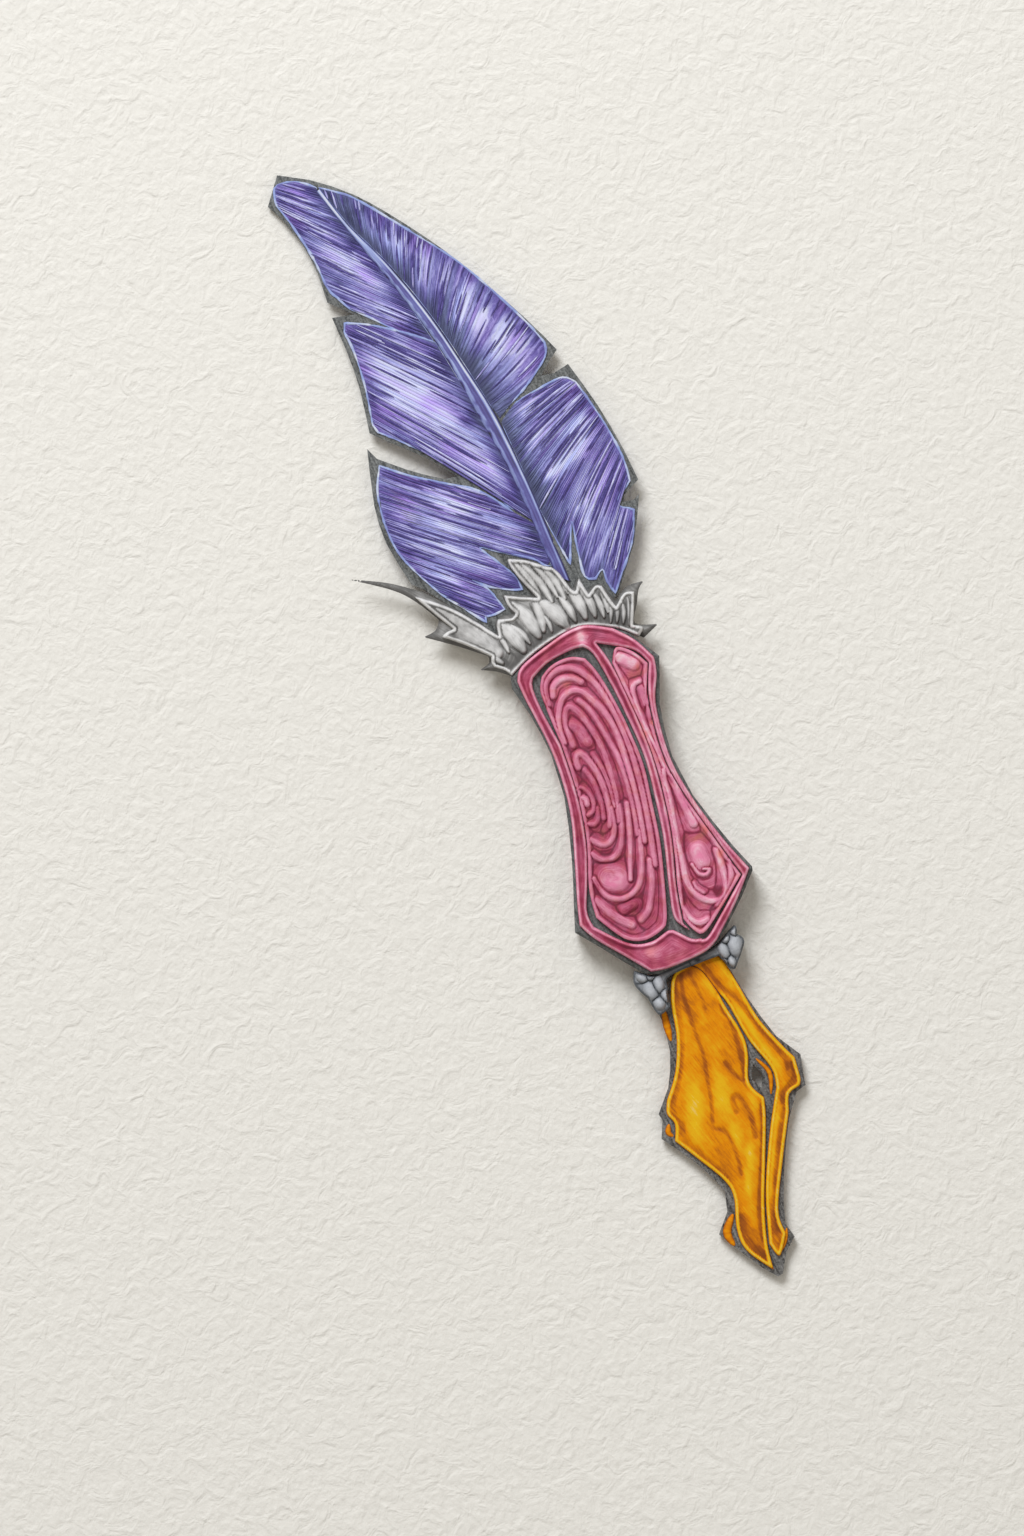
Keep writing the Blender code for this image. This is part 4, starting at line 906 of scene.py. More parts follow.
def finish(name):
    """A new material with its nodes, a Principled shader and a way to add and link nodes."""
    material = bpy.data.materials.new(name)
    material.use_nodes = True
    tree = material.node_tree
    shader = tree.nodes["Principled BSDF"]

    def add(kind, inputs=(), **settings):
        node = tree.nodes.new("ShaderNode" + kind)
        for setting, value in settings.items():
            setattr(node, setting, value)
        for socket, value in dict(inputs).items():
            if isinstance(value, bpy.types.NodeSocket):
                tree.links.new(value, node.inputs[socket])
            else:
                node.inputs[socket].default_value = value
        return node

    return material, shader, add, tree.links.new


def ramp_colours(add, value, stops):
    """A colour ramp over the value, whose stops are (place, colour)."""
    ramp = add("ValToRGB", {"Fac": value})
    elements = ramp.color_ramp.elements
    while len(elements) < len(stops):
        elements.new(0.5)
    for element, (place, colour) in zip(elements, stops):
        element.position = place
        element.color = (*colour, 1.0)
    return ramp.outputs["Color"]


def noise(add, vector, scale, detail, rough, **more):
    """Soft noise over the vector, from 0 to 1."""
    inputs = {"Vector": vector, "Scale": scale, "Detail": detail, "Roughness": rough, **more}
    return add("TexNoise", inputs).outputs["Fac"]


def surface(shader, add, link, height, wear, smoothest, roughest, shine):
    """A fine relief from the height, and roughness from the wear."""
    relief = add("Bump", {"Height": height, "Strength": 0.6, "Distance": 0.05 * MM})
    link(relief.outputs["Normal"], shader.inputs["Normal"])
    worn = add("MapRange", {"Value": wear, "To Min": smoothest, "To Max": roughest})
    link(worn.outputs[0], shader.inputs["Roughness"])
    shader.inputs["Specular IOR Level"].default_value = shine


def pencil(
    name, stops, streak=(2.2, 0.16), streak_share=0.34, tooth=0.12, rough=0.62, shine=0.24, tints=()
):
    """A matt coloured finish: tone picks the colour, fine strokes follow the flow, over a paper-like tooth.

    With two tints, the field tint turns the hue to the first where it is above 0 and to the second below 0.
    """
    material, shader, add, link = finish(name)
    tone = add("Attribute", attribute_name="tone").outputs["Fac"]
    flow = add("Attribute", attribute_name="flow").outputs["Vector"]
    strokes = []
    for scale, detail in ((1.0, 3.0), (3.1, 2.0)):
        stretch = (streak[0] * scale, streak[1] * scale, 1.0)
        stretched = add("VectorMath", {0: flow, 1: stretch}, operation="MULTIPLY").outputs[0]
        strokes.append(noise(add, stretched, 1.0, detail, 0.6))
    mixed = add("Math", {0: strokes[0], 1: strokes[1]}, operation="ADD").outputs[0]
    centred = add("Math", {0: mixed, 1: 1.0}, operation="SUBTRACT").outputs[0]
    grain = noise(add, add("TexCoord").outputs["Object"], 3100.0, 3.0, 0.7)
    value = add("Math", {0: centred, 1: streak_share, 2: tone}, operation="MULTIPLY_ADD").outputs[0]
    lifted = add("Math", {0: grain, 1: tooth, 2: value}, operation="MULTIPLY_ADD").outputs[0]
    shifted = add("Math", {0: lifted, 1: tooth / 2}, operation="SUBTRACT").outputs[0]
    colour = ramp_colours(add, shifted, stops)
    if tints:
        tint = add("Attribute", attribute_name="tint").outputs["Fac"]
        for sign, hue in zip((1.0, -1.0), tints):
            share = add("Math", {0: tint, 1: sign}, operation="MULTIPLY", use_clamp=True).outputs[0]
            mix = add("Mix", {0: share, 6: colour, 7: (*hue, 1.0)}, data_type="RGBA", blend_type="COLOR")
            colour = mix.outputs[2]
    link(colour, shader.inputs["Base Color"])
    height = add("Math", {0: mixed, 1: 0.6, 2: grain}, operation="MULTIPLY_ADD").outputs[0]
    surface(shader, add, link, height, grain, rough - 0.1, rough + 0.14, shine)
    return material


def solid_pencil(name, dark, light, size=900.0, rough=0.7):
    """The finish of a solid with no fields: two tones in slanted strokes over a paper-like tooth."""
    material, shader, add, link = finish(name)
    place = add("TexCoord").outputs["Object"]
    stretch = (size * 2.4, size * 0.22, size)
    slanted = add("Mapping", {"Vector": place, "Rotation": (0.0, 0.0, 0.6), "Scale": stretch}).outputs[0]
    strokes = noise(add, slanted, 1.0, 4.0, 0.65)
    grain = noise(add, place, 3000.0, 3.0, 0.7)
    both = add("Math", {0: strokes, 1: grain}, operation="ADD").outputs[0]
    spread = add("MapRange", {"Value": both, "From Min": 0.8, "From Max": 1.22}).outputs[0]
    link(ramp_colours(add, spread, ((0.0, dark), (1.0, light))), shader.inputs["Base Color"])
    surface(shader, add, link, both, grain, rough - 0.12, rough + 0.12, 0.25)
    return material


def blend_colour(a, b, share):
    return tuple(x + (y - x) * share for x, y in zip(a, b))


# The feather


def sheet_middle(plan):
    """Height of the middle of the feather's sheet: it droops to its tip and arches over the shaft."""
    along = np.clip((plan[:, 1] - DROOP_FROM) / DROOP_RUN, 0, 1)
    away = near(plan, np.array(SHAFT_LEFT))[0]
    arch = ARCH * np.minimum(1, away / ARCH_REACH) ** 2 * np.minimum(1, 3 * along)
    return MIDDLE - DROOP * along**1.4 - arch


def washes(plan, spots, slip=0.0):
    """The sum of soft oval spots, each (x, y, half length, half width, angle, amount), slipped lengthwise;
    they paint highlights and shades, and tints.
    """
    total = np.zeros(len(plan))
    for x, y, length, width, angle, amount in spots:
        u, v = turned(plan - (x, y), math.radians(angle))
        total += amount * np.exp(-(((u + slip) / length) ** 2) - (v / width) ** 2)
    return total


def barb_curves(lobe, places, rows):
    """The curves of barbs that leave the lobe's root line at these places (0 to 1), in plan."""
    line = smooth(lobe["barb_lines"], 0.7)
    run = np.concatenate([[0], np.cumsum(np.hypot(*np.diff(line[:, :2], axis=0).T))])
    x, y, first, last = (np.interp(places * run[-1], run, line[:, k]) for k in range(4))
    s = np.linspace(0, 1, rows)
    angle = np.radians(first[:, None] + (last - first)[:, None] * s)
    step = lobe["reach"] / (rows - 1)
    way = np.stack([np.cos(angle), np.sin(angle)], -1)[:, :-1] * step
    start = np.stack([x, y], -1)[:, None]
    return np.concatenate([start, start + np.cumsum(way, 1)], 1), run[-1]


def barb_cells(lobe, barbs, rng):
    """One lobe's cells cut to its rim, and each point's distance to the rim, column, row and place."""
    columns, rows = barbs * FOLDS + 1, BARB_ROWS
    widths = np.cumsum(rng.uniform(0.5, 1.5, barbs))
    edges = np.concatenate([[0], widths]) / widths[-1]
    places = np.interp(np.arange(columns) / FOLDS, np.arange(barbs + 1), edges)
    curves, width = barb_curves(lobe, places, rows)
    column, row = np.meshgrid(np.arange(columns), np.arange(rows), indexing="ij")
    plan = curves.reshape(-1, 2)
    column, row = column.ravel(), row.ravel()

    a, b = np.meshgrid(np.arange(columns - 1), np.arange(rows - 1), indexing="ij")
    corner = (a * rows + b).ravel()
    quads = np.stack([corner, corner + rows, corner + rows + 1, corner + 1], 1)
    rim = outline(lobe["rim"])
    quads = quads[inside(plan[quads].mean(1), rim)]
    used, quads = np.unique(quads, return_inverse=True)
    quads = quads.reshape(-1, 4)
    plan, column, row = plan[used], column[used], row[used]
    edge, _, nearest = near(plan, closed(rim))
    outer = ~inside(plan, rim)
    plan[outer] = nearest[outer]
    edge[outer] = 0.0
    a, b, c = (plan[quads[len(quads) // 2, k]] for k in (0, 1, 2))
    if np.cross(b - a, c - b) < 0:
        quads = quads[:, ::-1]
    return plan, quads, edge, column, row, places[column] * width


def barb_colours(lobe, side, plan, edge, barbs, barb, phase, length, rng):
    """Tone and tint of one lobe's barbs: painted shade by the shaft and the rim, own tones, painted
    highlights and shades, and painted shade and highlight lines.
    """
    line, shade, shade_reach, cool, cool_reach = BY_SHAFT[side]
    shaft = near(plan, smooth(line, WIDE_STEP))[0]
    # Painted shade beside the shaft.
    base = lobe["tone"] - shade * soft(shaft, shade_reach)
    # Painted shade along the rim.
    base = base - 0.17 * soft(edge, 1.3)
    fade = 0.5 + 0.5 * np.sin(length * rng.uniform(0.2, 0.5, barbs)[barb] + rng.uniform(0, 6, barbs)[barb])
    own = rng.normal(0, 0.055, barbs)[barb] + 0.05 * np.sin(barb * 0.83) * np.sin(barb * 0.31 + 1)
    # Painted shade in the valleys of some barbs, painted highlight on the crests of others.
    dark = rng.uniform(0.15, 0.4, barbs) * (rng.random(barbs) < 0.6)
    light = rng.uniform(0.1, 0.3, barbs) * (rng.random(barbs) < 0.3)
    # Painted soft highlights and shades, slipped along each barb.
    lit = washes(plan, lobe["lights"], rng.normal(0, 0.9, barbs)[barb])
    lit = lit * rng.uniform(0.7, 1.5, barbs)[barb]
    tone = base + own + lit + 0.06 * waves(plan, (13.0, 7.0), lobe["barbs"])
    # Painted shade along the valleys and painted highlight along the crests.
    tone = tone - (phase == 0) * dark[barb] * fade + (phase == 0.5) * light[barb] * (1 - fade)
    # The painted shade by the shaft also turns the hue cooler, towards steel.
    shaft_shade_tint = -cool * soft(shaft, cool_reach)
    tint = shaft_shade_tint + rng.normal(0, 0.22, barbs)[barb] + 0.35 * waves(plan, (19.0, 9.0), lobe["barbs"] + 3)
    return tone, tint


def barb_sheet(lobe, side, settings):
    """Both faces of one lobe's corrugated barbs, with their tone, tint and flow."""
    rng = np.random.default_rng(lobe["barbs"])
    barbs = int(lobe["barbs"] * settings.barb_share)
    plan, quads, edge, column, row, across = barb_cells(lobe, barbs, rng)
    barb = np.minimum(column // FOLDS, barbs - 1)
    phase = column % FOLDS / FOLDS
    length = row / (BARB_ROWS - 1) * lobe["reach"]
    roof = np.sin(math.pi * phase) ** 0.7
    rise = (roof * 0.8 + 0.25 * rng.normal(0, 0.5, barbs)[barb]) * np.minimum(1, edge / 0.7)
    tone, tint = barb_colours(lobe, side, plan, edge, barbs, barb, phase, length, rng)
    across = across + 0.35 * waves(plan, (9.0, 4.0, 2.3), lobe["barbs"] + 5)
    flow = np.stack([across, length, np.full(len(plan), float(lobe["barbs"]))], 1)
    middle = sheet_middle(plan)
    half = VANE_HALF + BARB_LIFT + settings.barb_rise / MM * rise
    return plan, quads, middle + half, middle - half, {"tone": tone, "tint": tint, "flow": flow}


def vane_finish(settings):
    """Violet barbs, which turn to purple or to steel by their tint."""
    stops = (
        (0.0, blend_colour(settings.deep, (0.02, 0.018, 0.05), 0.45)),
        (0.2, settings.deep),
        (0.43, settings.violet),
        (0.68, settings.lavender),
        (0.95, settings.pale),
    )
    tints = (settings.purple, settings.steel)
    return pencil("violet_barbs", stops, streak=(2.5, 0.15), streak_share=0.56, tooth=0.26, tints=tints)


def make_vanes(settings):
    """The barbs of every lobe on the feather's sheet."""
    material = vane_finish(settings)
    for name, lobe in LOBES.items():
        side = name.split("_")[1]
        plan, quads, top, base, fields = barb_sheet(lobe, side, settings)
        plate("barbs_" + name, plan, quads, top, base, fields, material, "feather", sharp=70)


def make_stray_barbs(settings):
    """Single fine barbs that lie over the vanes, lighter or darker than their neighbours."""
    rng = np.random.default_rng(5)
    parts = []
    sides = 4
    tones, chances = zip(*STRAY_TONES)
    for lobe in LOBES.values():
        rim = outline(lobe["rim"])
        count = int(lobe["barbs"] * STRAY_SHARE * settings.barb_share)
        curves, _ = barb_curves(lobe, rng.uniform(0.02, 0.98, count), STRAY_ROWS)
        for curve in curves:
            line = curve[inside(curve, rim)]
            first = int(rng.uniform(0, 0.8) * len(line))
            line = line[first : first + int(rng.uniform(*STRAY_LENGTH))]
            if len(line) < 7:
                continue
            taper = np.sin(np.linspace(0.1, math.pi - 0.1, len(line))) ** 0.7
            lift = VANE_HALF + BARB_LIFT + settings.barb_rise / MM * 1.7
            tone = rng.choice(tones, p=chances)
            run = np.repeat(np.arange(len(line)) * 0.4, sides)
            for face in (1, -1):
                height = sheet_middle(line) + face * lift
                half_width, half_height = (half * taper for half in STRAY_HALF)
                points, faces = sweep(np.column_stack([line, height]), half_width, half_height, sides)
                flow = np.stack([np.full(len(points), tone * 90), run, np.full(len(points), 3.0)], 1)
                fields = {"tone": np.full(len(points), tone), "tint": np.zeros(len(points)), "flow": flow}
                parts.append((points, faces, fields))
    points, faces, fields = joined(parts)
    build("stray_barbs", points, faces, fields, bpy.data.materials["violet_barbs"], "feather")


def make_rims(settings):
    """The pale rims round the lobes, on both faces."""
    parts = []
    sides = 8
    radius = settings.rim_radius / MM
    for number, lobe in enumerate(LOBES.values()):
        loop = outline(lobe["rim"], STEP)
        sides_of_shaft = [near(loop, smooth(line, WIDE_STEP))[0] for line in (SHAFT_LEFT, SHAFT_RIGHT)]
        beside_shaft = np.min(sides_of_shaft, 0)
        width = radius * (0.74 + 0.42 * waves(loop, (7.0, 2.6, 1.5), number))
        width = width * np.clip(beside_shaft / 1.2, 0.2, 1)
        for x, y, reach in HIDDEN_RIMS:
            width = width * np.clip((np.hypot(*(loop - (x, y)).T) - reach) / 0.8, 0.02, 1)
        tone = 0.48 + 0.42 * waves(loop, (14.0, 6.0, 3.0), number + 9)
        for face in (1, -1):
            height = sheet_middle(loop) + face * (VANE_HALF + RIM_LIFT)
            points, faces = sweep(np.column_stack([loop, height]), width, width * 0.75, sides, loop=True)
            run = np.repeat(np.arange(len(loop)) * 0.6, sides)
            flow = np.stack([np.zeros(len(points)), run, np.full(len(points), number)], 1)
            parts.append((points, faces, {"tone": np.repeat(tone, sides), "flow": flow}))
    stops = (
        (0.0, blend_colour(settings.rim, settings.violet, 0.6)),
        (0.45, settings.rim),
        (0.75, blend_colour(settings.rim, (0.75, 0.78, 0.85), 0.6)),
        (1.0, (0.74, 0.76, 0.8)),
    )
    points, faces, fields = joined(parts)
    material = pencil("pale_rim", stops, streak=(0.5, 0.5), streak_share=0.3)
    build("vane_rims", points, faces, fields, material, "feather")


def spaced(curve, share):
    """The points of the curve at these shares of its run."""
    places = share * (len(curve) - 1)
    return np.stack([np.interp(places, np.arange(len(curve)), curve[:, k]) for k in (0, 1)], 1)


def shaft_tone(left, profile):
    """The shaft's tone across its profile: paler at the tip, darker at the root, with a jagged left edge and
    a painted shadow past its right edge.
    """
    jag = 0.26 * waves(left, (2.2, 1.1, 3.7), 31)
    across = profile[None] + jag[:, None] * np.clip(1 - profile / 0.45, 0, 1)[None]
    # From 1.0 on, past the right edge, the dark tones are the shaft's painted shadow.
    places = (-0.1, 0.0, 0.08, 0.26, 0.36, 0.5, 0.68, 0.76, 0.86, 0.95, 1.01, 1.12)
    main = np.interp(across, places, (0.1, 0.46, 0.7, 0.62, 0.28, 0.34, 0.2, 0.68, 1.0, 0.8, 0.06, 0.04))
    tip = np.interp(across, places, (0.4, 0.56, 0.68, 0.76, 0.84, 0.94, 0.96, 0.9, 0.74, 0.56, 0.3, 0.2))
    root = np.interp(across, places, (0.1, 0.34, 0.5, 0.3, 0.2, 0.3, 0.2, 0.42, 0.66, 0.4, 0.08, 0.06))
    y = left[:, 1:]
    to_tip, to_root = np.clip((y - SHAFT_TIP) / 8, 0, 1), np.clip((SHAFT_ROOT - y) / 10, 0, 1)
    tone = main + (tip - main) * to_tip + (root - main) * to_root + 0.1 * waves(left, (16.0, 7.0), 4)[:, None]
    return tone, to_tip


def make_shaft():
    """The shaft: a periwinkle ridge on both faces, whose right edge is a whitish line beside a painted
    shadow.
    """
    share = np.linspace(0, 1, 120)
    left, right = (spaced(smooth(side, 1.5), share) for side in (SHAFT_LEFT, SHAFT_RIGHT))
    sides = 24
    profile = np.linspace(-0.06, 1.12, sides)
    rise = (0, 0.34, 0.66, 0.7, 0.56, 0.62, 0.3, 0)
    dome = np.interp(profile, (-0.06, 0.0, 0.2, 0.5, 0.8, 0.9, 1.0, 1.12), rise)
    tone, to_tip = shaft_tone(left, profile)
    spread = 0.2 * to_tip * (2 * profile - 1)
    side = (right - left) / np.hypot(*(right - left).T)[:, None]
    line = left[:, None] + (right - left)[:, None] * profile[None, :, None]
    line = line + side[:, None] * spread[:, :, None]
    middle = sheet_middle(line.reshape(-1, 2)).reshape(len(share), sides)
    high = VANE_HALF + dome
    front = np.dstack([line, middle + high])
    back = np.dstack([line, middle - high])[:, ::-1]
    points = np.concatenate([front, back], 1).reshape(-1, 3)
    ring = 2 * sides
    faces = [
        (i * ring + k, i * ring + (k + 1) % ring, (i + 1) * ring + (k + 1) % ring, (i + 1) * ring + k)
        for i in range(len(share) - 1)
        for k in range(ring)
    ]
    faces.append(tuple(range(ring - 1, -1, -1)))
    faces.append(tuple(range((len(share) - 1) * ring, len(share) * ring)))
    faces = [face[::-1] for face in faces]
    wide = np.tile(np.concatenate([profile, profile[::-1]]) * 3, len(share))
    flow = np.stack([wide, np.repeat(share * 80, ring), np.ones(len(points))], 1)
    stops = (
        (0.0, (0.06, 0.06, 0.09)),
        (0.25, (0.1, 0.085, 0.27)),
        (0.45, (0.17, 0.18, 0.45)),
        (0.75, (0.36, 0.43, 0.72)),
        (1.0, (0.7, 0.72, 0.78)),
    )
    material = pencil("shaft_horn", stops, streak=(2.0, 0.2), streak_share=0.25, rough=0.5)
    fields = {"tone": np.concatenate([tone, tone[:, ::-1]], 1).ravel(), "flow": flow}
    build("shaft", points, faces, fields, material, "feather")


# The down ruff


def ruff_half(plan, locks):
    """Half thickness of the ruff: thin at its tips, thicker at its root, with a ridge along each lock."""
    root = smooth(RUFF_LIGHT[0], WIDE_STEP)
    swell = RUFF_HALF + RUFF_SWELL * np.clip(1 - near(plan, root)[0] / RUFF_REACH, 0, 1)
    return swell + locks


def make_ground(settings):
    """The ruff's dark spiky ground."""
    dark = outline(RUFF_DARK, 0.5)
    plan, quads = lattice(dark, [], WIDE_CELL)
    edge = near(plan, closed(dark))[0]
    thin = np.clip(edge / 1.6, 0, 1) ** 0.6
    half = RUFF_THIN + (ruff_half(plan, 0.0) - 0.7) * thin
    spikes = np.clip((-10.5 - plan[:, 0]) / 5, 0, 1) + np.clip((plan[:, 0] - 15.5) / 2, 0, 1)
    half = np.where(spikes > 0, half * (1 - 0.45 * np.clip(spikes, 0, 1)), half)
    tone = 0.2 + 0.3 * np.clip(edge / 0.9, 0, 1) + 0.14 * waves(plan, (7.0, 3.0), 2)
    flow = np.column_stack([plan @ (0.8, 0.6), plan @ (-0.6, 0.8), np.zeros(len(plan))])
    grey = (
        (0.0, blend_colour(settings.shade, (0.02, 0.02, 0.02), 0.5)),
        (0.35, settings.shade),
        (0.7, blend_colour(settings.shade, settings.white, 0.3)),
        (1.0, blend_colour(settings.shade, settings.white, 0.7)),
    )
    ground = pencil("grey_down", grey, streak=(1.8, 0.25), streak_share=0.5, tooth=0.2)
    fields = {"tone": tone, "flow": flow}
    plate(
        "down_ground", plan, quads, MIDDLE + half, MIDDLE - half, fields, ground, "down",
        replaces=["down_ruff"],
    )


def make_locks(settings):
    """The pale locks of the ruff, with their jagged white edge, painted highlights on their crests and
    painted shade between them.
    """
    light = outline(RUFF_LIGHT, 0.4)
    plan, quads = lattice(light, [], FINE_CELL)
    edge = near(plan, closed(light))[0]
    cuff = near(plan, smooth(RUFF_LIGHT[0], STEP))[0]
    lines, shapes = [], []
    for root, tip, width in LOCKS:
        middle = ((root[0] + tip[0]) / 2 + 0.06 * (tip[1] - root[1]), (root[1] + tip[1]) / 2)
        line = near(plan, smooth((root, middle, tip), 0.8))
        length = math.dist(root, tip)
        leaf = width * (0.25 + 0.9 * np.sin(math.pi * np.clip(line[1] / length * 0.9 + 0.08, 0, 1)) ** 0.8)
        lines.append(line)
        shapes.append(line[0] / leaf)
    first, second, number = parted(plan, shapes)
    widths = np.array([width for _, _, width in LOCKS])[number]
    ridge = round_top(first) * np.minimum(1.0, widths + 0.35)
    along = np.array([line[1] for line in lines])[number, np.arange(len(plan))]
    flow = np.column_stack([first * 0.8, along, number])
    # Where two locks meet, a painted shade.
    joint = soft(second - first, 0.35) * np.clip(first - 0.4, 0, 1)
    # Each lock is painted lighter along its crest and darker to its sides: painted highlight and shade.
    inner = np.interp(first, (0.0, 0.5, 0.85, 1.1, 1.5, 2.2), (0.8, 0.74, 0.58, 0.32, 0.4, 0.48))
    # Painted shade where locks meet, and near the cuff where the down meets the grip.
    inner = inner - 0.34 * joint - 0.42 * np.clip(1 - (cuff - 0.5) / 3.2, 0, 1)
    rim = np.interp(edge, (0.0, 0.1, 0.26, 0.44, 0.66, 1.0), (0.5, 0.85, 0.98, 0.8, 0.26, 0.5))
    tone = np.where(edge < 0.85, np.minimum(rim, np.where(edge < 0.52, 1.0, inner + 0.2)), inner)
    tone = np.where(cuff < 0.7, np.interp(cuff, (0.0, 0.24, 0.42, 0.7), (0.4, 0.74, 0.68, 0.36)), tone)
    # Painted shade on the right and left sides, at the top and near the cuff.
    shade = 0.12 * np.clip((plan[:, 0] - 9.0) / 4, 0, 1) + 0.14 * np.clip((-7.0 - plan[:, 0]) / 2, 0, 1)
    shade += 0.08 * np.clip((plan[:, 1] - 19.0) / 2, 0, 1) + 0.1 * np.clip(1 - (cuff - 0.6) / 1.8, 0, 1)
    tone = tone - np.where(edge < 0.52, 0.0, shade) + 0.09 * waves(plan, (5.0, 2.0), 8)
    bead = round_top((edge - 0.26) / 0.3) * 0.3
    relief = np.maximum(ridge * settings.lock_rise / MM, bead) * np.clip(edge / 0.2, 0.1, 1)
    half = ruff_half(plan, relief) - 0.12
    far = np.clip((-9.5 - plan[:, 0]) / 6, 0, 1)
    half = half * (1 - 0.35 * far)
    pale = (
        (0.0, blend_colour(settings.shade, (0.02, 0.02, 0.02), 0.4)),
        (0.22, settings.shade),
        (0.5, blend_colour(settings.shade, settings.white, 0.42)),
        (0.78, blend_colour(settings.shade, settings.white, 0.84)),
        (1.0, settings.white),
    )
    material = pencil("white_down", pale, streak=(1.8, 0.2), streak_share=0.42, tooth=0.14)
    fields = {"tone": tone, "flow": flow}
    plate("down_locks", plan, quads, MIDDLE + half, MIDDLE - half, fields, material, "down")


# The grip


def grip_stops(settings):
    """The rose's colours, from the painted shade of its grooves to the painted highlight of its crests."""
    return (
        (0.0, blend_colour(settings.crimson, (0.05, 0.01, 0.02), 0.4)),
        (0.2, settings.crimson),
        (0.48, settings.rose),
        (0.7, blend_colour(settings.rose, settings.crest, 0.6)),
        (0.86, settings.crest),
        (1.0, blend_colour(settings.crest, (0.86, 0.72, 0.76), 0.55)),
    )


def rose_finish(name, settings, streak, streak_share):
    """Carved rose, which turns to orange or to mauve by its tint."""
    tints = (settings.orange, settings.mauve)
    return pencil(name, grip_stops(settings), streak, streak_share, tooth=0.22, tints=tints)


def edge_distance(plan, loops):
    """Each point's distance to the nearest of the loops."""
    return np.min([near(plan, closed(loop))[0] for loop in loops], 0)


def two_faces(name, plan, quads, relief, fields, material, slot):
    """The same carved plate on the front and the back of the grip, each in place of its solid."""
    for side, face in (("front", 1), ("back", -1)):
        top = MIDDLE + face * (GRIP_TOP / 2 - CARVING + relief)
        base = np.full(len(plan), MIDDLE + face * (GRIP_TOP / 2 - CARVING - FOOT))
        if face < 0:
            top = np.maximum(top, 0.0)
        plate(
            f"carved_{name}_{side}", plan, quads, top, base, fields, material, slot,
            replaces=[f"{name}_{side}"], sharp=60,
        )


def make_frames(settings):
    """The rose frames round the windows, with pale lines along their edges: painted highlights on raised
    beads, with painted shade beside them.
    """
    loops = [outline(strokes, STEP) for strokes in (FRAME_EDGE, LEFT_WINDOW, RIGHT_WINDOW)]
    plan, quads = lattice(loops[0], loops[1:], CELL)
    edge = edge_distance(plan, loops)
    # Painted highlight on the raised bead by each edge, painted shade where the bead falls away, rose beyond.
    tone = np.interp(edge, (0.0, 0.08, 0.24, 0.42, 0.62, 1.2, 3.0), (0.6, 0.88, 0.98, 0.62, 0.22, 0.4, 0.56))
    # Painted soft highlights and shades.
    tone += washes(plan, FRAME_LIGHTS) + 0.11 * waves(plan, (11.0, 5.0, 2.4), 3)
    relief = CARVING * np.interp(edge, (0.0, 0.3, 0.55, 1.0, 2.2), (0.55, 1.0, 0.98, 0.6, 0.8))
    outer = near(plan, closed(loops[0]))
    flow = np.column_stack([edge * 1.6, outer[1], np.zeros(len(plan))])
    tint = washes(plan, FRAME_TINTS) + 0.28 * waves(plan, (9.0, 4.0), 17)
    material = rose_finish("rose_frame", settings, (2.2, 0.2), 0.5)
    fields = {"tone": tone, "tint": tint, "flow": flow}
    two_faces("grip_frame", plan, quads, relief, fields, material, "frame")


def parted(plan, shapes):
    """For each point its share of the nearest shape's half width, of the next one's, and which is nearest."""
    first = np.full(len(plan), 9.0)
    second = np.full(len(plan), 9.0)
    number = np.zeros(len(plan), int)
    for index, share in enumerate(shapes):
        closer = share < first
        second = np.where(closer, first, np.minimum(second, share))
        first = np.where(closer, share, first)
        number[closer] = index
    return first, second, number


def carved_fields(plan, loop, ridges, lights, tints):
    """Relief, tone, tint and flow of a panel: bands round its ridges with painted highlights on their crests,
    parted by thin grooves of painted crimson shade.
    """
    edge = near(plan, closed(loop))[0]
    lines = [near(plan, smooth(points, STEP)) for points, _, _ in ridges]
    shapes = [line[0] / ridge[1] for line, ridge in zip(lines, ridges)] + [np.abs(edge - 0.3) / 0.34]
    first, second, number = parted(plan, shapes)
    pale = np.array([ridge[2] for ridge in ridges] + [0.74])[number]
    along = np.choose(number, [line[1] for line in lines] + [edge * 0 + plan[:, 1]])
    # Painted highlight along each ridge's crest, fading to painted shade at its sides; painted shade darkens
    # the grooves between ridges.
    fall = np.interp(first, (0.0, 0.6, 0.95, 1.25, 1.6, 3.0), (0.96, 0.9, 0.6, 0.2, 0.1, 0.24))
    groove = soft(second - first, 0.42) * np.clip(first / 0.6 - 0.2, 0, 1)
    tone = 0.36 + (pale - 0.36) * fall - 0.52 * groove
    # Painted soft highlights and shades.
    tone += washes(plan, lights)
    relief = CARVING * (0.42 + 0.58 * round_top(first / 1.3) * (1 - 0.4 * groove))
    flow = np.column_stack([first * 1.2, along, number])
    tint = washes(plan, tints) - 0.1 + 0.44 * waves(plan, (5.0, 2.2), len(ridges))
    return relief, tone, tint, flow


def make_panels(settings):
    """The carved panels in the windows: nested loops on the left, scrolls on the right."""
    for name, strokes, ridges, lights, tints, lift in (
        ("left_panel", LEFT_PANEL, LEFT_RIDGES, LEFT_LIGHTS, LEFT_TINTS, -0.02),
        ("right_panel", RIGHT_PANEL, RIGHT_RIDGES, RIGHT_LIGHTS, RIGHT_TINTS, 0.09),
    ):
        loop = outline(strokes, STEP)
        plan, quads = lattice(loop, [], FINE_CELL)
        relief, tone, tint, flow = carved_fields(plan, loop, ridges, lights, tints)
        tone += lift + 0.1 * waves(plan, (9.0, 4.5, 2.4), len(ridges))
        material = rose_finish("rose_" + name, settings, (2.2, 0.3), 0.56)
        two_faces(name, plan, quads, relief, {"tone": tone, "tint": tint, "flow": flow}, material, name)


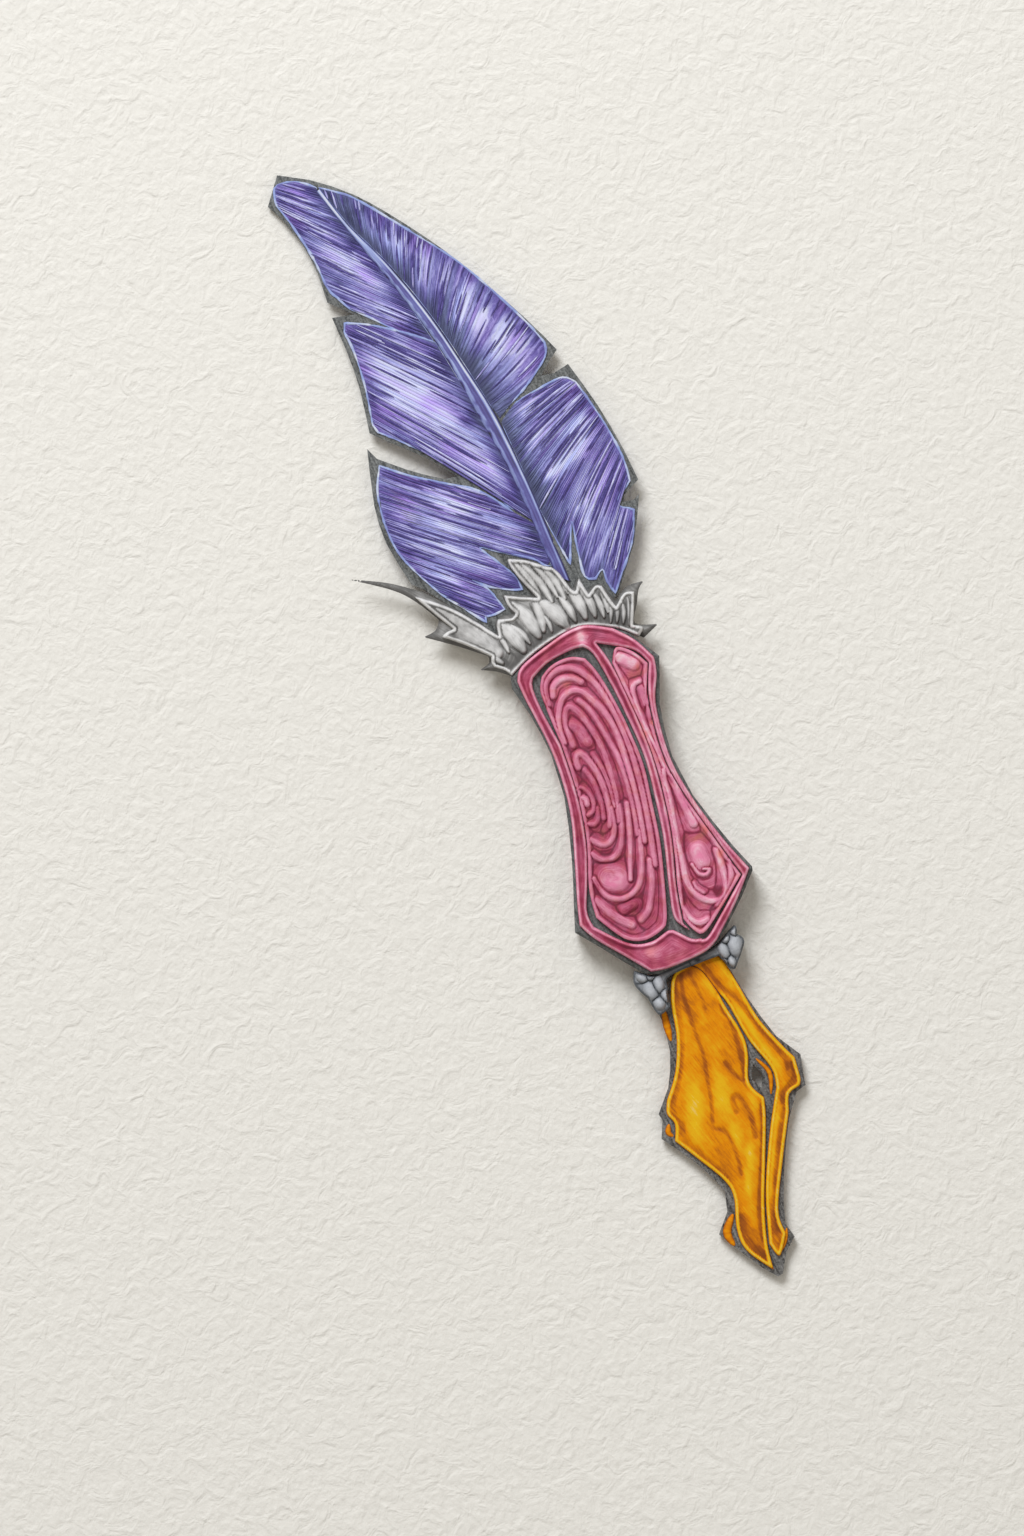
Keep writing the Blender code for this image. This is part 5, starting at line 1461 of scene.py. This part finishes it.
def make_greys(settings):
    """The solids that still show keep their shape: the core, the feather's margin and the nib's plate."""
    dark = blend_colour(settings.core, (0.03, 0.03, 0.03), 0.5)
    light = blend_colour(settings.core, (0.45, 0.46, 0.45), 0.3)
    for node, material in (
        ("grip_core", solid_pencil("grey_core", dark, light)),
        ("feather", solid_pencil("grey_margin", dark, blend_colour(light, (0.45, 0.46, 0.45), 0.15))),
        ("nib_plate", solid_pencil("dark_plate", (0.04, 0.038, 0.036), (0.25, 0.245, 0.235), rough=0.5)),
    ):
        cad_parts[node].material_slots[0].material = material


# The ferrule and the nib


def make_ferrule():
    """The ferrule: pale grey pebbles in a dark ground, on both faces, each with painted highlight and shade
    on its dome.
    """
    loop = outline(FERRULE_EDGE, 0.5)
    plan, quads = lattice(loop, [], FINE_CELL)
    edge = near(plan, closed(loop))[0]
    shapes = []
    for x, y, across, along, turn in PEBBLES:
        u, v = turned(plan - (x, y), turn)
        shapes.append(np.hypot(u / across, v / along))
    first, second, _ = parted(plan, shapes)
    joint = soft(second - first, 0.2) * np.clip(first * 2 - 0.6, 0, 1)
    # Each pebble is painted lighter at its crown and darker toward its edge, a painted highlight and shade on
    # its dome; past its edge the ground is grey of its own.
    tone = np.interp(first, (0.0, 0.5, 0.9, 1.3, 1.8), (0.86, 0.78, 0.66, 0.5, 0.4)) - 0.56 * joint
    tone = np.where(edge < 0.3, 0.16, tone) + 0.06 * waves(plan, (3.0, 1.6), 12)
    relief = PEBBLE_RISE * round_top(first / 1.3) * (1 - 0.7 * joint) + 0.15
    half = FERRULE_HALF + relief * np.clip(edge / 0.3, 0, 1)
    flow = np.column_stack([plan[:, 0], plan[:, 1], np.full(len(plan), 2.0)])
    stops = (
        (0.0, (0.05, 0.055, 0.06)),
        (0.3, (0.15, 0.16, 0.175)),
        (0.65, (0.35, 0.365, 0.39)),
        (1.0, (0.62, 0.64, 0.67)),
    )
    material = pencil("grey_pebbles", stops, streak=(1.2, 0.8), streak_share=0.25, rough=0.5)
    plate(
        "ferrule_pebbles", plan, quads, MIDDLE + half, MIDDLE - half, {"tone": tone, "flow": flow},
        material, "ferrule", replaces=["ferrule"],
    )


def nib_middle(plan):
    """Height of the middle of the nib's plate: it slopes to the point and its sides bend down."""
    along = np.maximum(0.0, (NIB_ROOT - plan[:, 1]) / NIB_LENGTH)
    axis_x = -1.0 - 9.0 * along**1.6
    aside = np.minimum(1.0, np.abs(plan[:, 0] - axis_x) / NIB_HALF)
    return NIB_HEIGHT - NIB_SLOPE * along - NIB_BEND * aside**2


def amber_finish(settings):
    """Amber enamel, from the brown of the painted shade in its folds to its pale yellow rim."""
    stops = (
        (0.0, blend_colour(settings.brown, (0.1, 0.03, 0.012), 0.55)),
        (0.2, settings.brown),
        (0.45, settings.amber),
        (0.68, blend_colour(settings.amber, settings.yellow, 0.7)),
        (0.86, settings.yellow),
        (1.0, (0.85, 0.56, 0.14)),
    )
    return pencil(
        "amber_enamel", stops, streak=(1.3, 0.16), streak_share=0.42, tooth=0.18, rough=0.55, shine=0.12
    )


def leaf_fields(plan, loop, folds, seed):
    """Relief, tone and flow of a leaf: a yellow rim, folds darkened brown by painted shade, painted
    highlights and shades, and a soft swell.
    """
    edge = near(plan, closed(loop))[0]
    flow = np.column_stack([plan @ (0.97, 0.24), plan @ (-0.24, 0.97), np.zeros(len(plan))])
    cut = np.zeros(len(plan))
    for points, width, depth in folds:
        away = near(plan, smooth(points, STEP))[0]
        # Each fold is a groove darkened by painted shade, with a wider soft painted shade beside it.
        cut = np.maximum(cut, depth * np.exp(-((away / width) ** 4)))
        cut = np.maximum(cut, 0.3 * depth * soft(away, 3 * width))
    # Painted soft highlights and shades, less the painted shade of the folds.
    tone = 0.54 + 0.1 * waves(plan, (15.0, 7.0, 3.4), seed) + washes(plan, LEAF_LIGHTS) - 0.9 * cut
    rim = np.interp(edge, (0.0, 0.12, 0.3, 0.5, LEAF_RIM), (0.5, 0.84, 0.94, 0.78, 0.34))
    seam_x, seam_y, seam_reach = LEAF_SEAM
    seam = np.clip((np.hypot(*(plan - (seam_x, seam_y)).T) - seam_reach) / 1.5, 0, 1)
    rim = tone - 0.2 * soft(edge, 0.15) + (rim - tone) * seam
    # Painted shade just inside the raised rim.
    inner = tone - 0.12 * seam * soft(edge - LEAF_RIM, 0.4)
    tone = np.where(edge < LEAF_RIM, rim, inner)
    relief = 0.3 + 0.3 * np.sqrt(np.clip(edge / 2.2, 0, 1)) - 0.4 * cut
    relief = np.maximum(relief, 0.5 * seam * round_top((edge - 0.3) / 0.36))
    return relief, {"tone": tone, "flow": flow}


def make_leaves(settings):
    """The amber leaves of the nib, on both faces."""
    material = amber_finish(settings)
    for name, strokes, folds, seed in (
        ("nib_left_leaf", LEFT_LEAF, LEFT_FOLDS, 21),
        ("nib_right_leaf", RIGHT_LEAF, RIGHT_FOLDS, 22),
    ):
        loop = outline(strokes, STEP)
        plan, quads = lattice(loop, [], CELL)
        relief, fields = leaf_fields(plan, loop, folds, seed)
        middle = nib_middle(plan)
        for side, face in (("front", 1), ("back", -1)):
            top, base = middle + face * (LEAF_TOP + relief), middle + face * LEAF_FOOT
            plate(
                f"{name}_{side}_enamel", plan, quads, top, base, fields, material, "nib_leaf",
                replaces=[f"{name}_{side}"], sharp=60,
            )


def make_slivers():
    """Small amber slivers set in the dark plate beside the leaves."""
    parts = []
    sides = 10
    turns = np.arange(sides) * 2 * math.pi / sides
    for points, width in SLIVERS:
        line = smooth(points, 0.4)
        taper = np.sin(np.linspace(0.12, math.pi - 0.12, len(line))) ** 0.7
        tone = np.tile(0.02 + 0.44 * np.abs(np.sin(turns)), len(line))
        run = np.repeat(np.arange(len(line)), sides)
        flow = np.stack([np.zeros(len(run)), run, np.ones(len(run))], 1)
        for face in (1, -1):
            height = nib_middle(line) + face * SLIVER_LIFT
            spots, faces = sweep(np.column_stack([line, height]), width * taper, SLIVER_RISE * taper, sides)
            parts.append((spots, faces, {"tone": tone, "flow": flow}))
    spots, faces, fields = joined(parts)
    build("nib_slivers", spots, faces, fields, bpy.data.materials["amber_enamel"], "nib_leaf")


# The stage

SURROUND = (1.0, 0.945, 0.86, 1.0)
SURROUND_STRENGTH = 0.385
LAMP_COLOUR = (0.97, 1.0, 1.05)
# Each lamp: its name, place, size and power.
LAMPS = (
    ("key", (0.04, 1.24, 1.2), 0.7, 25.2),
    ("fill", (0.5, -0.4, 1.2), 1.2, 1.0),
)
LENS = 200.0
SENSOR = 36.0
FRAME_HEIGHT = 1536
PIXEL = 0.17 * MM
EYE_X = -14.2 * MM
EYE_Y = -5.4 * MM
EYE_LIFT = 4.0 * MM
EYE_TURN = -25.0


def make_floor():
    """A pale paper-like floor."""
    mesh = bmesh.new()
    bmesh.ops.create_grid(mesh, x_segments=2, y_segments=2, size=2.0)
    data = bpy.data.meshes.new("floor")
    mesh.to_mesh(data)
    mesh.free()
    floor = bpy.data.objects.new("floor", data)
    bpy.context.scene.collection.objects.link(floor)
    material, shader, add, link = finish("cream_floor")
    place = add("TexCoord").outputs["Object"]
    grain = noise(add, place, 900.0, 4.0, 0.6)
    cream = ((0.3, (0.8, 0.775, 0.715)), (0.7, (0.86, 0.835, 0.775)))
    link(ramp_colours(add, grain, cream), shader.inputs["Base Color"])
    dents = noise(add, place, 330.0, 2.0, 0.5, Distortion=1.2)
    height = add("Math", {0: dents, 1: 2.2, 2: grain}, operation="MULTIPLY_ADD").outputs[0]
    relief = add("Bump", {"Height": height, "Strength": 0.6, "Distance": 0.27 * MM})
    link(relief.outputs["Normal"], shader.inputs["Normal"])
    shader.inputs["Roughness"].default_value = 0.9
    data.materials.append(material)


def make_lights(scene):
    """Soft studio light: a warm surround, a key from beyond the feather's tip and a weak fill."""
    world = bpy.data.worlds.new("studio")
    world.use_nodes = True
    background = world.node_tree.nodes["Background"]
    background.inputs["Color"].default_value = SURROUND
    background.inputs["Strength"].default_value = SURROUND_STRENGTH
    scene.world = world
    for name, place, size, power in LAMPS:
        light = bpy.data.lights.new(name, "AREA")
        light.size = size
        light.energy = power
        light.color = LAMP_COLOUR
        lamp = bpy.data.objects.new(name, light)
        lamp.location = place
        lamp.rotation_euler = (-Vector(place)).to_track_quat("-Z", "Y").to_euler()
        scene.collection.objects.link(lamp)


def make_camera(scene):
    """The camera straight above, turned as the photo is."""
    camera = bpy.data.cameras.new("camera")
    camera.lens = LENS
    camera.sensor_fit = "VERTICAL"
    camera.sensor_height = SENSOR
    eye = bpy.data.objects.new("camera", camera)
    eye.location = (EYE_X, EYE_Y, FRAME_HEIGHT * PIXEL / SENSOR * LENS + EYE_LIFT)
    eye.rotation_euler = (0.0, 0.0, math.radians(EYE_TURN))
    scene.collection.objects.link(eye)
    scene.camera = eye


def make_stage():
    """The floor, the lights and the camera."""
    scene = bpy.context.scene
    make_floor()
    make_lights(scene)
    scene.view_settings.view_transform = "Standard"
    make_camera(scene)


# Operators, panel and start


class QUILL_OT_stage(bpy.types.Operator):
    """Add the floor, the lights and the camera"""

    bl_idname = "quill.stage"
    bl_label = "Stage"

    def execute(self, context):
        make_stage()
        return {"FINISHED"}


class QUILL_OT_vanes(bpy.types.Operator):
    """Add the barbs of every lobe of the feather"""

    bl_idname = "quill.vanes"
    bl_label = "Vanes"

    def execute(self, context):
        make_vanes(context.scene.quill_feather)
        return {"FINISHED"}


class QUILL_OT_stray_barbs(bpy.types.Operator):
    """Add fine single barbs over the vanes"""

    bl_idname = "quill.stray_barbs"
    bl_label = "Stray barbs"

    def execute(self, context):
        make_stray_barbs(context.scene.quill_feather)
        return {"FINISHED"}


class QUILL_OT_rims(bpy.types.Operator):
    """Add the pale rims of the lobes"""

    bl_idname = "quill.rims"
    bl_label = "Rims"

    def execute(self, context):
        make_rims(context.scene.quill_feather)
        return {"FINISHED"}


class QUILL_OT_shaft(bpy.types.Operator):
    """Add the shaft of the feather"""

    bl_idname = "quill.shaft"
    bl_label = "Shaft"

    def execute(self, context):
        make_shaft()
        return {"FINISHED"}


class QUILL_OT_ruff(bpy.types.Operator):
    """Add the ruff of down"""

    bl_idname = "quill.ruff"
    bl_label = "Ruff"

    def execute(self, context):
        make_ground(context.scene.quill_ruff)
        make_locks(context.scene.quill_ruff)
        return {"FINISHED"}


class QUILL_OT_frames(bpy.types.Operator):
    """Add the carved frames of the grip"""

    bl_idname = "quill.frames"
    bl_label = "Frames"

    def execute(self, context):
        make_frames(context.scene.quill_grip)
        return {"FINISHED"}


class QUILL_OT_panels(bpy.types.Operator):
    """Add the carved panels of the grip"""

    bl_idname = "quill.panels"
    bl_label = "Panels"

    def execute(self, context):
        make_panels(context.scene.quill_grip)
        return {"FINISHED"}


class QUILL_OT_ferrule(bpy.types.Operator):
    """Add the pebbled ferrule"""

    bl_idname = "quill.ferrule"
    bl_label = "Ferrule"

    def execute(self, context):
        make_ferrule()
        return {"FINISHED"}


class QUILL_OT_leaves(bpy.types.Operator):
    """Add the amber leaves of the nib"""

    bl_idname = "quill.leaves"
    bl_label = "Leaves"

    def execute(self, context):
        make_leaves(context.scene.quill_nib)
        return {"FINISHED"}


class QUILL_OT_slivers(bpy.types.Operator):
    """Add the amber slivers of the nib"""

    bl_idname = "quill.slivers"
    bl_label = "Slivers"

    def execute(self, context):
        make_slivers()
        return {"FINISHED"}


class QUILL_OT_greys(bpy.types.Operator):
    """Give the core, the margin and the plate their finish"""

    bl_idname = "quill.greys"
    bl_label = "Grey solids"

    def execute(self, context):
        make_greys(context.scene.quill_grip)
        return {"FINISHED"}


OPERATORS = (
    QUILL_OT_stage,
    QUILL_OT_vanes,
    QUILL_OT_stray_barbs,
    QUILL_OT_rims,
    QUILL_OT_shaft,
    QUILL_OT_ruff,
    QUILL_OT_frames,
    QUILL_OT_panels,
    QUILL_OT_ferrule,
    QUILL_OT_leaves,
    QUILL_OT_slivers,
    QUILL_OT_greys,
)


class QUILL_PT_panel(bpy.types.Panel):
    """Lists the pieces of the quill pen"""

    bl_idname = "QUILL_PT_panel"
    bl_label = "Quill pen"
    bl_space_type = "VIEW_3D"
    bl_region_type = "UI"
    bl_category = "Quill"

    def draw(self, context):
        for made in OPERATORS:
            self.layout.operator(made.bl_idname)
        for group, kind in SETTINGS.items():
            for field in kind.__annotations__:
                self.layout.prop(getattr(context.scene, group), field)


def register():
    for kind in (*SETTINGS.values(), *OPERATORS, QUILL_PT_panel):
        bpy.utils.register_class(kind)
    for group, kind in SETTINGS.items():
        setattr(bpy.types.Scene, group, bpy.props.PointerProperty(type=kind))


def unregister():
    for group in SETTINGS:
        delattr(bpy.types.Scene, group)
    for kind in (QUILL_PT_panel, *reversed(OPERATORS), *reversed(tuple(SETTINGS.values()))):
        bpy.utils.unregister_class(kind)


def main():
    register()
    for made in OPERATORS:
        name = made.bl_idname.split(".")[1]
        getattr(bpy.ops.quill, name)()
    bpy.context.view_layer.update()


if __name__ == "__main__":
    main()
